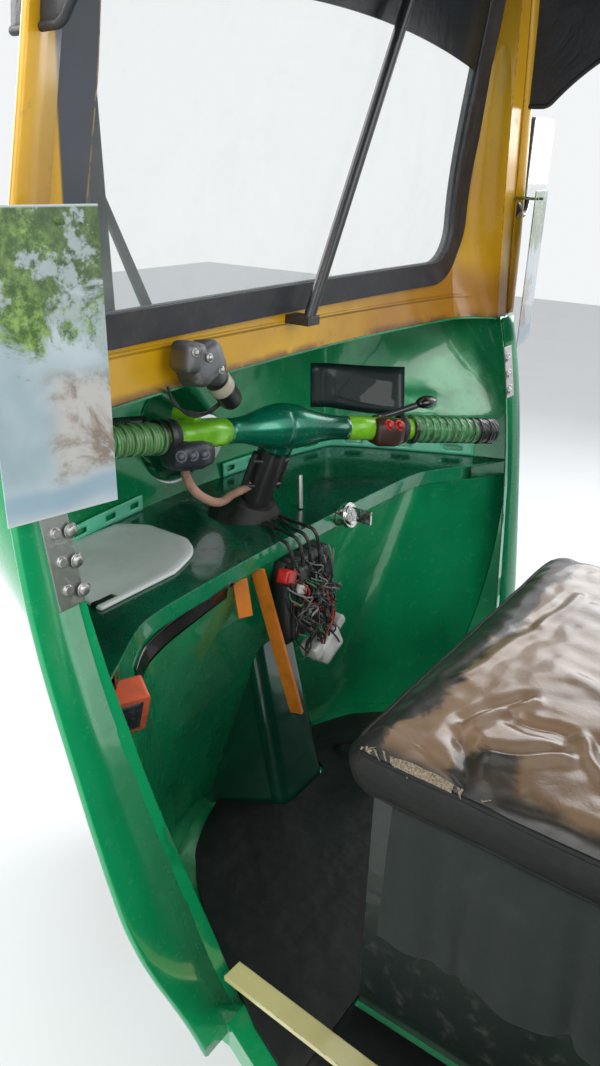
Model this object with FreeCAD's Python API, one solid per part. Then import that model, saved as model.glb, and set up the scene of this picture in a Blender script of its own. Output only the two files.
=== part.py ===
# Driver's cab of a three-wheeled taxi, from the nose to the partition behind the driver's seat.
# +X points forward, +Y to the left, +Z up. Sizes are in millimetres.
# While the model is made, X = 0 lies at the foot of the windscreen pillars and Z = 0 at the ground.
# At the end everything is moved so that the origin is the middle of the rear joint's bolt holes.
import FreeCAD, Part
import math
import os

V = FreeCAD.Vector

# Overall places
CAB_REAR_X = -600.0
FLOOR_Z = 333.0
BEAM_Z = 290.0
BELT_Z = 1040.0
ROOF_RAIL_Z = 1610.0
TRAY_Z = 790.0

# Sheet thicknesses and clearances
SKIN = 3.0
GLASS_THICK = 5.0
RUNNING_GAP = 0.05
SOFT_GAP = 0.3

# Outer skin of the nose, from the floor up to the belt.
# Columns: height, door edge x, half width at the door edge, shoulder x, shoulder y, nose x, corner bulge
NOSE_ROWS = (
    (318.0, -118.0, 398.0, 120.0, 270.0, 205.0, 0.14),
    (520.0, -82.0, 438.0, 178.0, 296.0, 250.0, 0.17),
    (760.0, -47.0, 489.0, 252.0, 344.0, 300.0, 0.20),
    (BELT_Z, 2.0, 500.0, 286.0, 362.0, 318.0, 0.20),
)
# Windscreen surround, from the belt up to the roof, in the same columns
SCREEN_ROWS = (
    (BELT_Z, 2.0, 500.0, 58.0, 406.0, 88.0, 0.12),
    (1115.0, 0.0, 482.0, 74.0, 412.0, 84.0, 0.16),
    (1440.0, -12.0, 421.0, 35.0, 375.0, 43.0, 0.16),
    (1610.0, -14.0, 392.0, 15.0, 352.0, 23.0, 0.16),
)
# Knee panel between the tray's lip and the floor, in the same columns
KNEE_ROWS = (
    (333.0, -160.0, 425.0, 128.0, 215.0, 168.0, 0.16),
    (560.0, -100.0, 475.0, 98.0, 290.0, 122.0, 0.14),
    (790.0, -40.0, 505.0, 66.0, 335.0, 76.0, 0.08),
)

# Folded edges round the door openings
DOOR_LIP = 34.0
PILLAR_LIP = 44.0

# Windscreen: daylight opening and its rubber
SCREEN_LOW_Z = 1130.0
SCREEN_TOP_Z = 1556.0
SCREEN_HALF_LOW = 396.0
SCREEN_HALF_TOP = 341.0
SCREEN_CORNER = 52.0
SEAL_WIDTH = 26.0
SEAL_LAP = 7.0
SEAL_PROUD = 6.0
GLASS_IN_SEAL = 9.0
GLASS_INSET = 2.0
STAY_R = 7.5

# Tray
TRAY_LIP_DROP = 24.0
TRAY_LIP_THICK = 9.0

# Wheel housing over the front wheel, seen as the tunnel between the driver's feet
HOUSING_LOW = (48.0, 60.0)
HOUSING_HIGH = (138.0, 52.0)
HOUSING_MOUTH_LOW = 268.0
HOUSING_MOUTH_HIGH = 88.0
HOUSING_TOP_Z = 706.0
HOUSING_FRONT_X = 330.0
HOUSING_CORNER = 22.0
ARCH_R = 196.0
ARCH_Z = 300.0

# Headlamp
LAMP_R = 78.0
LAMP_Z = 886.0
LAMP_FACE_X = 312.0
LAMP_PROUD = 18.0
LAMP_RIM = 9.0
LENS_R = 210.0

# Steering
AXIS_TOP = V(152.0, 0.0, 815.0)
RAKE = 20.3
REST_TURN = -20.9
STEM_R = 21.0
HEAD_TUBE_WALL = 7.0
HEAD_TUBE_LOW_Z = 478.0
HEAD_TUBE_TOP_Z = 776.0
BAR_CENTRE_Z = 935.0
BAR_SWEEP = 11.06
BAR_HALF = 356.0
COVER_HALF = 101.0
GRIP_START = 207.0
BAR_TUBE_R = 11.0
SLEEVE_R = 16.0
GRIP_R = 18.5
SHEATH_R = 6.5

# Front wheel
WHEEL_X = 350.0
WHEEL_Z = 205.0
TYRE_R = 205.0
TYRE_WIDTH = 100.0
RIM_R = 108.0
RIM_WALL = 4.0
AXLE_R = 10.0
HUB_R = 62.0
GUARD_GAP = 20.0
GUARD_HALF = 64.0
GUARD_THICK = 2.5
FORK_SIDE_Y = 92.0
FORK_R = 19.0
LINK_PIVOT = V(430.0, 0.0, 216.0)
LINK_PIVOT_HALF = 22.0
LINK_THICK = 14.0
DAMPER_LOW = V(388.0, 0.0, 210.0)
DAMPER_TOP = V(338.0, 0.0, 432.0)
EYE_WIDTH = 16.0

# Seat
SEAT_FRONT_X = -192.0
SEAT_REAR_X = -548.0
SEAT_HALF = 303.0
SEAT_TOP_Z = 748.0
CUSHION_THICK = 92.0
SEAT_BOX_INSET = 34.0

LEVER_LENGTH = 330.0

# Floor
FLOOR_EDGE = 34.0
MAT_THICK = 6.0
MAT_INSET = 26.0

# Lock
LOCK_Y = -96.0

# Side films
FILM_WIDTH = 100.0
FILM_THICK = 1.6
FILM_LOW_Z = 998.0
FILM_TOP_Z = 1238.0
FILM_TURN = 79.0
FILM_INNER = V(-44.0, 438.0, 0.0)

# Riveted plates at the foot of the pillars
BRACKET_LOW_Z = 905.0
BRACKET_TOP_Z = 990.0

# Rear frame and roof
SILL_HALF_REAR = 560.0
HOOP_TUBE_R = 14.0
HOOP_HALF_LOW = 545.0
HOOP_HALF_TOP = 470.0
ROOF_CROWN_Z = 1698.0
RAIL_TUBE_R = 11.0
BOW_X = -300.0
CANOPY_THICK = 4.0
CANOPY_FLARE = 38.0
FLAP_LOW_Z = 1318.0
DOOR_ARCH_X = -290.0
DOOR_ARCH_Z = 1130.0
DOOR_ARCH_R = 335.0
# Roof cover's outlines: place along X, half width, height of the side's top, height of the crown
CANOPY_ROWS = (
    (29.0, 414.0, 1612.0, 1660.0),
    (-300.0, 462.0, 1632.0, 1696.0),
    (CAB_REAR_X, 506.0, 1640.0, 1708.6),
)
PARTITION_TOP_Z = 985.0

# Rear joint
JOINT_SPACING_Y = 680.0
JOINT_SPACING_Z = 40.0
JOINT_HOLE_R = 5.5
JOINT_PLATE = 8.0

RAKE_SIN = math.sin(math.radians(RAKE))
RAKE_COS = math.cos(math.radians(RAKE))
AXIS_UP = V(-RAKE_SIN, 0.0, RAKE_COS)


def axis_point(height):
    """Point of the steering axis at a height above the ground."""
    up = (height - AXIS_TOP.z) / RAKE_COS
    return AXIS_TOP + AXIS_UP * up


def steered(shape):
    """Turn a straight-ahead piece about the steering axis to the rest pose."""
    turned = shape.copy()
    turned.rotate(AXIS_TOP, AXIS_UP, REST_TURN)
    return turned


def mirror_y(shape):
    return shape.mirror(V(0, 0, 0), V(0, 1, 0))


def rod(start, end, radius):
    """Round bar between two points."""
    run = end - start
    return Part.makeCylinder(radius, run.Length, start, run)


def cone(start, end, radius_start, radius_end):
    run = end - start
    return Part.makeCone(radius_start, radius_end, run.Length, start, run)


def block(x0, x1, y0, y1, z0, z1):
    return Part.makeBox(x1 - x0, y1 - y0, z1 - z0, V(x0, y0, z0))


def bent_tube(points, radius, bend):
    """Tube through points, with tangent arcs of the bend radius at the inner ones."""
    edges = []
    last = points[0]
    for before, corner, after in zip(points, points[1:], points[2:]):
        inward = (before - corner).normalize()
        outward = (after - corner).normalize()
        half = inward.getAngle(outward) / 2
        reach = bend / math.tan(half)
        middle = (inward + outward).normalize() * (bend / math.sin(half) - bend)
        start = corner + inward * reach
        end = corner + outward * reach
        edges.append(Part.LineSegment(last, start).toShape())
        edges.append(Part.Arc(start, corner + middle, end).toShape())
        last = end
    edges.append(Part.LineSegment(last, points[-1]).toShape())
    path = Part.Wire(edges)
    first = (points[1] - points[0]).normalize()
    ring = Part.Wire(Part.Circle(points[0], first, radius).toShape())
    return path.makePipeShell([ring], True, False)


def corner_arc(start, end, bulge):
    """Arc from start to end that swells away from the middle of the cab."""
    chord = end - start
    out = V(chord.y, -chord.x, 0)
    if out.x < 0:
        out = out * -1
    out.normalize()
    middle = (start + end) * 0.5 + out * (chord.Length * bulge)
    return Part.Arc(start, middle, end).toShape()


def plan_wire(row, inset=0.0, side_inset=0.0, rear=0.0):
    """One level outline: rear line, two sides, two corners and the front."""
    height, edge_x, half, shoulder_x, shoulder_y, nose_x, bulge = row
    if rear == 0:
        edge_x = edge_x + inset
    side = half - inset - side_inset
    back_left = V(edge_x - rear, side, height)
    left = V(edge_x, side, height)
    front_left = V(shoulder_x - inset, shoulder_y - inset * 0.5, height)
    front = V(nose_x - inset, 0, height)
    front_right = V(front_left.x, -front_left.y, height)
    right = V(left.x, -left.y, height)
    back_right = V(back_left.x, -back_left.y, height)
    edges = [
        corner_arc(left, front_left, bulge),
        Part.Arc(front_left, front, front_right).toShape(),
        corner_arc(right, front_right, bulge),
        Part.LineSegment(back_right, back_left).toShape(),
    ]
    if rear > 0:
        edges.append(Part.LineSegment(back_left, left).toShape())
        edges.append(Part.LineSegment(right, back_right).toShape())
    return Part.Wire(Part.__sortEdges__(edges))


def skin_body(rows, inset=0.0, side_inset=0.0, rear=0.0):
    """Solid through the level outlines of a table of rows."""
    wires = [plan_wire(row, inset, side_inset, rear) for row in rows]
    return Part.makeLoft(wires, True, False)


def screen_outline(grow):
    """Rounded outline of the windscreen in the YZ plane, grown all round."""
    low = SCREEN_LOW_Z - grow
    top = SCREEN_TOP_Z + grow
    half_low = SCREEN_HALF_LOW + grow
    half_top = SCREEN_HALF_TOP + grow
    corners = [V(0, -half_low, low), V(0, half_low, low), V(0, half_top, top), V(0, -half_top, top)]
    radius = SCREEN_CORNER + grow
    edges = []
    starts = []
    for number, corner in enumerate(corners):
        before = (corners[number - 1] - corner).normalize()
        after = (corners[(number + 1) % 4] - corner).normalize()
        half = before.getAngle(after) / 2
        reach = radius / math.tan(half)
        middle = (before + after).normalize() * (radius / math.sin(half) - radius)
        first = corner + before * reach
        last = corner + after * reach
        edges.append(Part.Arc(first, corner + middle, last).toShape())
        starts.append((first, last))
    for number in range(4):
        edges.append(Part.LineSegment(starts[number][1], starts[(number + 1) % 4][0]).toShape())
    return Part.Wire(Part.__sortEdges__(edges))


def screen_plug(grow, depth=260.0):
    """The outline pushed through the windscreen along X."""
    face = Part.Face(screen_outline(grow))
    plug = face.extrude(V(depth, 0, 0))
    plug.translate(V(-depth / 2 + 40.0, 0, 0))
    return plug


def nose_cavity(gap=0.0):
    """Space inside the nose's sheet, drawn in by a gap for what is fitted there."""
    return skin_body(NOSE_ROWS, SKIN + gap)


def knee_space():
    """Space on the driver's side of the knee panel."""
    return skin_body(KNEE_ROWS, SKIN + SOFT_GAP, 0.0, 300.0)


def grown_nose(size):
    return skin_body([grown(row, size) for row in NOSE_ROWS])


def housing_wedge(shrink):
    """Tapered hump over the wheel, narrow at the driver's side."""
    wires = []
    low_x, low_half = HOUSING_LOW
    high_x, high_half = HOUSING_HIGH
    low = (FLOOR_Z - 60.0, low_x - 15.0, low_half, HOUSING_MOUTH_LOW)
    high = (HOUSING_TOP_Z - shrink, high_x, high_half, HOUSING_MOUTH_HIGH)
    for height, rear_x, rear_half, mouth_half in (low, high):
        rear = rear_x + shrink
        half = rear_half - shrink
        mouth = mouth_half - shrink
        cut = HOUSING_CORNER
        points = [V(rear, -half + cut, height), V(rear, half - cut, height), V(rear + cut, half, height),
                  V(HOUSING_FRONT_X, mouth, height), V(HOUSING_FRONT_X, -mouth, height), V(rear + cut, -half, height)]
        edges = [
            Part.LineSegment(points[0], points[1]).toShape(),
            Part.Arc(points[1], V(rear + cut * 0.29, half - cut * 0.29, height), points[2]).toShape(),
            Part.LineSegment(points[2], points[3]).toShape(),
            Part.LineSegment(points[3], points[4]).toShape(),
            Part.LineSegment(points[4], points[5]).toShape(),
            Part.Arc(points[5], V(rear + cut * 0.29, -half + cut * 0.29, height), points[0]).toShape(),
        ]
        wires.append(Part.Wire(edges))
    return Part.makeLoft(wires, True, True)


def nose_panel():
    """Green outer shell from door edge to door edge, with the ledge below the windscreen."""
    shell = skin_body(NOSE_ROWS).cut(cavity_open(nose_cavity()))
    doorway = skin_body(NOSE_ROWS, 0.0, DOOR_LIP, 60.0)
    doorway = doorway.common(behind_door_edge())
    shell = shell.cut(doorway)
    interior = Part.Face(plan_wire(SCREEN_ROWS[0], SKIN, PILLAR_LIP - SKIN, 60.0)).extrude(V(0, 0, 40.0))
    interior.translate(V(0, 0, -20.0))
    shell = shell.cut(interior)
    shell = shell.cut(housing_wedge(SKIN + SOFT_GAP))
    arch = Part.makeCylinder(ARCH_R, 300.0, V(100.0, 0, ARCH_Z), V(1, 0, 0))
    return shell.cut([arch, lamp_cylinder(LAMP_R + 1.0, 200.0)])


def cavity_open(cavity):
    """The cavity, running out below the floor and stopping under the ledge."""
    below = Part.Face(plan_wire(NOSE_ROWS[0], SKIN)).extrude(V(0, 0, -20.0))
    lid = block(-200.0, 400.0, -600.0, 600.0, BELT_Z - SKIN, BELT_Z + 40.0)
    return cavity.fuse(below).cut(lid)


def behind_door_edge():
    """Space that holds only the sheet of the folded door edge and what lies behind it."""
    wires = []
    for row in NOSE_ROWS:
        height, edge_x, half = row[:3]
        x1 = edge_x + SKIN + 1.0
        wires.append(Part.makePolygon([V(edge_x - 80.0, -half, height), V(x1, -half, height), V(x1, half, height),
                                       V(edge_x - 80.0, half, height), V(edge_x - 80.0, -half, height)]))
    return Part.makeLoft(wires, True, False)


def lamp_cylinder(radius, length):
    return Part.makeCylinder(radius, length, V(LAMP_FACE_X + 60.0 - length, 0, LAMP_Z), V(1, 0, 0))


def headlamp():
    """Round lamp in the nose: bowl, neck, chromed rim and domed lens."""
    face = LAMP_FACE_X + LAMP_PROUD
    x_way = V(1, 0, 0)
    bowl = Part.makeCone(LAMP_R / 2, LAMP_R, 62.0, V(LAMP_FACE_X - 64.0, 0, LAMP_Z), x_way)
    neck = Part.makeCylinder(LAMP_R, LAMP_PROUD + 2.0, V(LAMP_FACE_X - 2.0, 0, LAMP_Z), x_way)
    rim = Part.makeCylinder(LAMP_R + LAMP_RIM, LAMP_PROUD + 16.0, V(LAMP_FACE_X - 14.0, 0, LAMP_Z), x_way)
    rim = rim.cut(grown_nose(SOFT_GAP))
    depth = LENS_R - math.sqrt(LENS_R ** 2 - LAMP_R ** 2)
    lens = Part.makeSphere(LENS_R, V(face + depth - LENS_R, 0, LAMP_Z))
    lens = lens.common(Part.makeCylinder(LAMP_R, 2 * depth, V(face - 0.1, 0, LAMP_Z), x_way))
    return bowl.fuse([neck, rim, lens])


def windscreen_surround():
    """Yellow panel below the windscreen, both pillars and the header in one pressing."""
    outer = skin_body(SCREEN_ROWS)
    inner_rows = [stretched(SCREEN_ROWS[0], -5.0)] + list(SCREEN_ROWS[1:-1]) + [stretched(SCREEN_ROWS[-1], 5.0)]
    inner = skin_body(inner_rows, SKIN, PILLAR_LIP - SKIN, 60.0)
    shell = outer.cut(inner)
    return shell.cut(screen_plug(SEAL_WIDTH))


def screen_space():
    """Inside of the windscreen surround, where what is fixed to it may reach."""
    return skin_body(SCREEN_ROWS, SKIN, PILLAR_LIP - SKIN, 60.0)


def stretched(row, rise):
    return (row[0] + rise,) + tuple(row[1:])


def screen_slab(outside, inside):
    """Thick skin that follows the windscreen surround's front."""
    outer = skin_body([grown(row, outside) for row in SCREEN_ROWS], 0.0, 0.0, 90.0)
    inner = skin_body([grown(row, -inside) for row in SCREEN_ROWS], 0.0, 0.0, 140.0)
    return outer.cut(inner)


def grown(row, size):
    height, edge_x, half, shoulder_x, shoulder_y, nose_x, bulge = row
    return (height, edge_x, half + size, shoulder_x + size, shoulder_y + size * 0.5, nose_x + size, bulge)


def windscreen_glass():
    slab = screen_slab(-GLASS_INSET, GLASS_INSET + GLASS_THICK)
    return slab.common(screen_plug(GLASS_IN_SEAL))


def windscreen_seal(surround):
    """Rubber round the glass, with a groove for the glass and one for the sheet's edge."""
    slab = screen_slab(SEAL_PROUD, SKIN + SEAL_PROUD + 3.0)
    ring = screen_plug(SEAL_WIDTH + SEAL_LAP).cut(screen_plug(0.0))
    glass_groove = screen_slab(SOFT_GAP - GLASS_INSET, GLASS_INSET + GLASS_THICK + SOFT_GAP)
    glass_groove = glass_groove.common(screen_plug(GLASS_IN_SEAL + SOFT_GAP))
    sheet_groove = screen_slab(SOFT_GAP, SKIN + SOFT_GAP).cut(screen_plug(SEAL_WIDTH - SOFT_GAP))
    return slab.common(ring).cut([glass_groove, sheet_groove, surround])


def knee_panel(inside):
    """Inner panel in front of the driver's knees, from the tray down to the floor."""
    outer = skin_body(KNEE_ROWS)
    inner = skin_body(KNEE_ROWS, SKIN, 0.0, 40.0)
    sheet = outer.cut(inner).common(inside)
    sheet = sheet.cut(block(-700.0, 400.0, -600.0, 600.0, TRAY_Z - TRAY_LIP_DROP, 1000.0))
    return sheet.cut(housing_wedge(-SOFT_GAP))


def wheel_housing(inside):
    """Hump between the driver's feet that clears the front wheel and carries the beam's top."""
    solid = housing_wedge(0.0).common(inside)
    shell = solid.cut(housing_wedge(SKIN))
    return shell.cut(head_tube_body(SOFT_GAP))


def head_tube_body(gap=0.0):
    return rod(axis_point(HEAD_TUBE_LOW_Z), axis_point(HEAD_TUBE_TOP_Z), STEM_R + HEAD_TUBE_WALL + gap)


def dash_tray(inside):
    """Shelf from the rolled lip forward to the nose, with the hole for the column."""
    top = KNEE_ROWS[-1]
    plan = Part.Face(plan_wire(top)).extrude(V(0, 0, SKIN))
    plan.translate(V(0, 0, -SKIN))
    shelf = inside.common(block(-60.0, 330.0, -600.0, 600.0, TRAY_Z - SKIN, TRAY_Z)).cut(plan)
    outer = Part.Face(plan_wire(top)).extrude(V(0, 0, -TRAY_LIP_DROP))
    inner_row = grown(top, -TRAY_LIP_THICK)
    inner = Part.Face(plan_wire(inner_row, 0.0, -20.0)).extrude(V(0, 0, -TRAY_LIP_DROP))
    lip = outer.cut(inner).common(inside)
    tray = shelf.fuse(lip)
    tray = tray.cut(Part.makeCylinder(STEM_R + HEAD_TUBE_WALL + 4.0, 90.0, axis_point(TRAY_Z - 40.0), AXIS_UP))
    return tray


def floor_panel(nose):
    """Floor with its turned-down edges, following the nose and widening to the rear."""
    plate = Part.Face(floor_wire(0.0)).extrude(V(0, 0, -FLOOR_EDGE))
    hollow = Part.Face(floor_wire(SKIN)).extrude(V(0, 0, -FLOOR_EDGE))
    hollow.translate(V(0, 0, -SKIN))
    pan = plate.cut(hollow)
    return pan.cut(housing_wedge(-SOFT_GAP)).cut(nose)


def floor_wire(inset):
    """Outline of the floor at its top."""
    rear = CAB_REAR_X + 14.0 + inset
    half = SILL_HALF_REAR - inset
    edge = V(-122.0, 390.0 - inset, FLOOR_Z)
    shoulder = V(108.0 - inset, 258.0 - inset, FLOOR_Z)
    nose = V(180.0 - inset, 0, FLOOR_Z)
    points = [V(rear, -half, FLOOR_Z), V(edge.x, -edge.y, FLOOR_Z), V(shoulder.x, -shoulder.y, FLOOR_Z)]
    edges = [
        Part.LineSegment(points[0], points[1]).toShape(),
        corner_arc(points[1], points[2], 0.14),
        Part.Arc(points[2], nose, shoulder).toShape(),
        corner_arc(edge, shoulder, 0.14),
        Part.LineSegment(edge, V(rear, half, FLOOR_Z)).toShape(),
        Part.LineSegment(V(rear, half, FLOOR_Z), points[0]).toShape(),
    ]
    return Part.Wire(Part.__sortEdges__(edges))


def floor_mat(nose):
    """Rubber mat from the knee panel back to the seat's box."""
    mat = Part.Face(floor_wire(MAT_INSET)).extrude(V(0, 0, MAT_THICK))
    mat = mat.common(skin_body(KNEE_ROWS, SKIN + 4.0, 0.0, 420.0))
    box_front = SEAT_FRONT_X - SEAT_BOX_INSET + 2.0
    mat = mat.cut(block(-800.0, box_front, -700.0, 700.0, 0.0, 1000.0))
    return mat.cut(housing_wedge(-4.0)).cut(nose)


def chassis_frame():
    """Head tube, central beam and rear crossmember, welded into one."""
    low = axis_point(HEAD_TUBE_LOW_Z)
    top = axis_point(HEAD_TUBE_TOP_Z)
    tube = rod(low, top, STEM_R + HEAD_TUBE_WALL)
    profile = [V(205.0, 0, 700.0), V(262.0, 0, 540.0), V(112.0, 0, 350.0), V(112.0, 0, 264.0),
               V(CAB_REAR_X + JOINT_PLATE, 0, 264.0), V(CAB_REAR_X + JOINT_PLATE, 0, 298.0), V(58.0, 0, 298.0),
               V(60.0, 0, 345.0), V(150.0, 0, 688.0), V(205.0, 0, 700.0)]
    beam = Part.Face(Part.makePolygon(profile)).extrude(V(0, 60.0, 0))
    beam.translate(V(0, -30.0, 0))
    half_y = JOINT_SPACING_Y / 2 + 34.0
    cross = block(CAB_REAR_X, CAB_REAR_X + JOINT_PLATE, -half_y, half_y, BEAM_Z - 40.0, BEAM_Z + 40.0)
    cross = cross.fuse(block(CAB_REAR_X, CAB_REAR_X + 60.0, -half_y, half_y, BEAM_Z - 48.0, BEAM_Z - 40.0))
    arms = []
    for x in (CAB_REAR_X + 44.0, -330.0, -120.0):
        reach = 480.0 if x < -500.0 else 400.0 if x < -200.0 else 320.0
        arms.append(block(x - 22.0, x + 22.0, -reach, reach, 264.0, 298.0))
    frame = beam.fuse([tube, cross] + arms)
    bore = rod(low - AXIS_UP * 10.0, top + AXIS_UP * 10.0, STEM_R + RUNNING_GAP)
    frame = frame.cut(bore)
    for side_y in (-1, 1):
        for side_z in (-1, 1):
            hole = V(CAB_REAR_X - 5.0, side_y * JOINT_SPACING_Y / 2, BEAM_Z + side_z * JOINT_SPACING_Z / 2)
            frame = frame.cut(Part.makeCylinder(JOINT_HOLE_R, 40.0, hole, V(1, 0, 0)))
    return frame


def seat_box():
    """Sheet box that the cushion sits on, open below."""
    x0 = SEAT_REAR_X + 10.0
    x1 = SEAT_FRONT_X - SEAT_BOX_INSET
    half = SEAT_HALF - SEAT_BOX_INSET
    top = SEAT_TOP_Z - CUSHION_THICK - SOFT_GAP
    outer = block(x0, x1, -half, half, FLOOR_Z, top)
    inner = block(x0 + SKIN, x1 - SKIN, -half + SKIN, half - SKIN, FLOOR_Z - 1.0, top - SKIN)
    return outer.cut(inner)


def seat_cushion():
    """Cushion with rounded edges."""
    cushion = block(SEAT_REAR_X, SEAT_FRONT_X, -SEAT_HALF, SEAT_HALF, SEAT_TOP_Z - CUSHION_THICK, SEAT_TOP_Z)
    return cushion.makeFillet(26.0, [e for e in cushion.Edges if abs(e.CenterOfMass.z - SEAT_TOP_Z) < 60.0])


def seat_skirt():
    """Cloth cover that hangs below the cushion on the door side."""
    y = SEAT_HALF - SEAT_BOX_INSET + SOFT_GAP
    low = block(SEAT_REAR_X + 30.0, SEAT_FRONT_X - 60.0, y, y + 5.0, 470.0, SEAT_TOP_Z - CUSHION_THICK - 2 * SOFT_GAP)
    return low


def partition():
    """Sheet behind the driver, flanged on the hoop."""
    x = CAB_REAR_X
    sheet = block(x, x + SKIN, -HOOP_HALF_LOW, HOOP_HALF_LOW, BEAM_Z + 42.0, PARTITION_TOP_Z)
    rail = rod(V(x + HOOP_TUBE_R, -500.0, PARTITION_TOP_Z + HOOP_TUBE_R), V(x + HOOP_TUBE_R, 500.0, PARTITION_TOP_Z + HOOP_TUBE_R), HOOP_TUBE_R)
    return sheet.cut(rail)


def rear_hoop():
    x = CAB_REAR_X + HOOP_TUBE_R + SKIN
    low = FLOOR_Z
    points = [V(x, -HOOP_HALF_LOW, low), V(x, -HOOP_HALF_LOW, 700.0), V(x, -HOOP_HALF_TOP, ROOF_RAIL_Z + 10.0),
              V(x, -190.0, ROOF_CROWN_Z - 18.0), V(x, 190.0, ROOF_CROWN_Z - 18.0),
              V(x, HOOP_HALF_TOP, ROOF_RAIL_Z + 10.0), V(x, HOOP_HALF_LOW, 700.0), V(x, HOOP_HALF_LOW, low)]
    return bent_tube(points, HOOP_TUBE_R, 60.0)


def roof_frame():
    """Rear hoop, two side rails and a middle bow, welded into one."""
    x0 = CAB_REAR_X + HOOP_TUBE_R + SKIN
    pieces = []
    for side in (-1, 1):
        start = V(-16.5, side * 372.0, ROOF_RAIL_Z - 14.0)
        end = V(x0, side * (HOOP_HALF_TOP - 8.0), ROOF_RAIL_Z + 6.0)
        pieces.append(rod(start, end, RAIL_TUBE_R))
    bow = [V(BOW_X, -418.0, ROOF_RAIL_Z - 4.0), V(BOW_X, -170.0, ROOF_CROWN_Z - 30.0),
           V(BOW_X, 170.0, ROOF_CROWN_Z - 30.0), V(BOW_X, 418.0, ROOF_RAIL_Z - 4.0)]
    pieces.append(bent_tube(bow, RAIL_TUBE_R, 120.0))
    return rear_hoop().fuse(pieces)


def canopy_body(shrink):
    wires = []
    for x, half, side_z, crown in CANOPY_ROWS:
        if shrink and x > 0:
            x = x - shrink
        if shrink and x < -500:
            x = x - 10.0
        low = 1300.0 - shrink * 5
        half = half - shrink
        side_z = side_z - shrink
        a = V(x, half + CANOPY_FLARE, low)
        b = V(x, half, side_z)
        c = V(x, 0, crown - shrink)
        edges = [
            Part.LineSegment(a, b).toShape(),
            Part.Arc(b, c, V(x, -b.y, b.z)).toShape(),
            Part.LineSegment(V(x, -b.y, b.z), V(x, -a.y, a.z)).toShape(),
            Part.LineSegment(V(x, -a.y, a.z), a).toShape(),
        ]
        wires.append(Part.Wire(edges))
    return Part.makeLoft(wires, True, False)


def canopy(surround):
    """Roof cover with side flaps that sweep down to the pillars."""
    shell = canopy_body(0.0).cut(canopy_body(CANOPY_THICK))
    front = CANOPY_ROWS[0][0]
    brow = block(front - CANOPY_THICK - 0.1, front + 40.0, -700.0, 700.0, 1100.0, ROOF_RAIL_Z - 10.0)
    door = Part.makeCylinder(DOOR_ARCH_R, 1400.0, V(DOOR_ARCH_X, -700.0, DOOR_ARCH_Z), V(0, 1, 0))
    low = block(-900.0, 80.0, -700.0, 700.0, 1100.0, FLAP_LOW_Z)
    rear = block(-900.0, DOOR_ARCH_X, -700.0, 700.0, 1100.0, DOOR_ARCH_Z + DOOR_ARCH_R)
    return shell.cut([brow, door, low, rear]).cut(surround)


def bar_direction(side):
    """Unit vector along one half of the handlebar, straight ahead."""
    angle = math.radians(BAR_SWEEP)
    return V(-math.sin(angle), side * math.cos(angle), 0)


def bar_centre():
    return axis_point(BAR_CENTRE_Z)


def bar_piece(side, start, end, radius, radius_end=None):
    centre = bar_centre()
    a = centre + bar_direction(side) * start
    b = centre + bar_direction(side) * end
    if radius_end is None:
        return rod(a, b, radius)
    return cone(a, b, radius, radius_end)


def handlebar_cover():
    """Tapered sheet cover over the middle of the bar."""
    middle = bar_centre()
    body = cone(middle + AXIS_UP * -34.0, middle + AXIS_UP * 30.0, 34.0, 24.0)
    for side in (-1, 1):
        body = body.fuse(bar_piece(side, 0.0, COVER_HALF, 32.0, 18.0))
    return body


def leg_point(share):
    """Point of the fork leg's centre line, from its bend down to the link's pivot."""
    start = axis_point(HEAD_TUBE_LOW_Z - 24.0)
    elbow = V(start.x + 8.0, FORK_SIDE_Y, start.z - 6.0)
    foot = V(LINK_PIVOT.x, FORK_SIDE_Y, LINK_PIVOT.z)
    return elbow + (foot - elbow) * share


def steering_column():
    """Stem, its bend round the tyre, the leg, the link's boss and the damper's bracket."""
    top = bar_centre() - AXIS_UP * 34.0
    stem = rod(axis_point(HEAD_TUBE_LOW_Z - 4.0), top, STEM_R)
    collar = rod(axis_point(HEAD_TUBE_LOW_Z - 22.0), axis_point(HEAD_TUBE_LOW_Z - 1.0), STEM_R + HEAD_TUBE_WALL + 2.0)
    start = axis_point(HEAD_TUBE_LOW_Z - 24.0)
    elbow = leg_point(0.0)
    foot = leg_point(1.0)
    leg = bent_tube([start, elbow, foot], FORK_R, 34.0)
    boss = rod(foot - V(0, LINK_PIVOT_HALF, 0), foot + V(0, LINK_PIVOT_HALF, 0), 24.0)
    on_leg = leg_point(0.12)
    y0 = FORK_SIDE_Y + LINK_PIVOT_HALF + LINK_THICK
    corner = V(DAMPER_TOP.x, FORK_SIDE_Y + 8.0, DAMPER_TOP.z)
    bracket = rod(on_leg, corner, 10.0).fuse(rod(corner, V(corner.x, y0, corner.z), 10.0))
    return stem.fuse([collar, leg, boss, bracket])


def axle_link():
    """Swinging link from the leg's foot back to the axle, with the axle itself."""
    pivot = V(LINK_PIVOT.x, 0, LINK_PIVOT.z)
    axle = V(WHEEL_X, 0, WHEEL_Z)
    y0 = FORK_SIDE_Y + LINK_PIVOT_HALF + RUNNING_GAP
    run = pivot - axle
    plate = block(0.0, run.Length, y0, y0 + LINK_THICK, -15.0, 15.0)
    plate.rotate(V(0, 0, 0), V(0, 1, 0), -math.degrees(math.atan2(run.z, run.x)))
    plate.translate(axle)
    link = plate
    for spot, radius in ((pivot, 24.0), (axle, 26.0)):
        link = link.fuse(rod(V(spot.x, y0, spot.z), V(spot.x, y0 + LINK_THICK, spot.z), radius))
    shaft = rod(V(axle.x, -50.0, axle.z), V(axle.x, y0 + LINK_THICK, axle.z), AXLE_R)
    return link.fuse(shaft)


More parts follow.
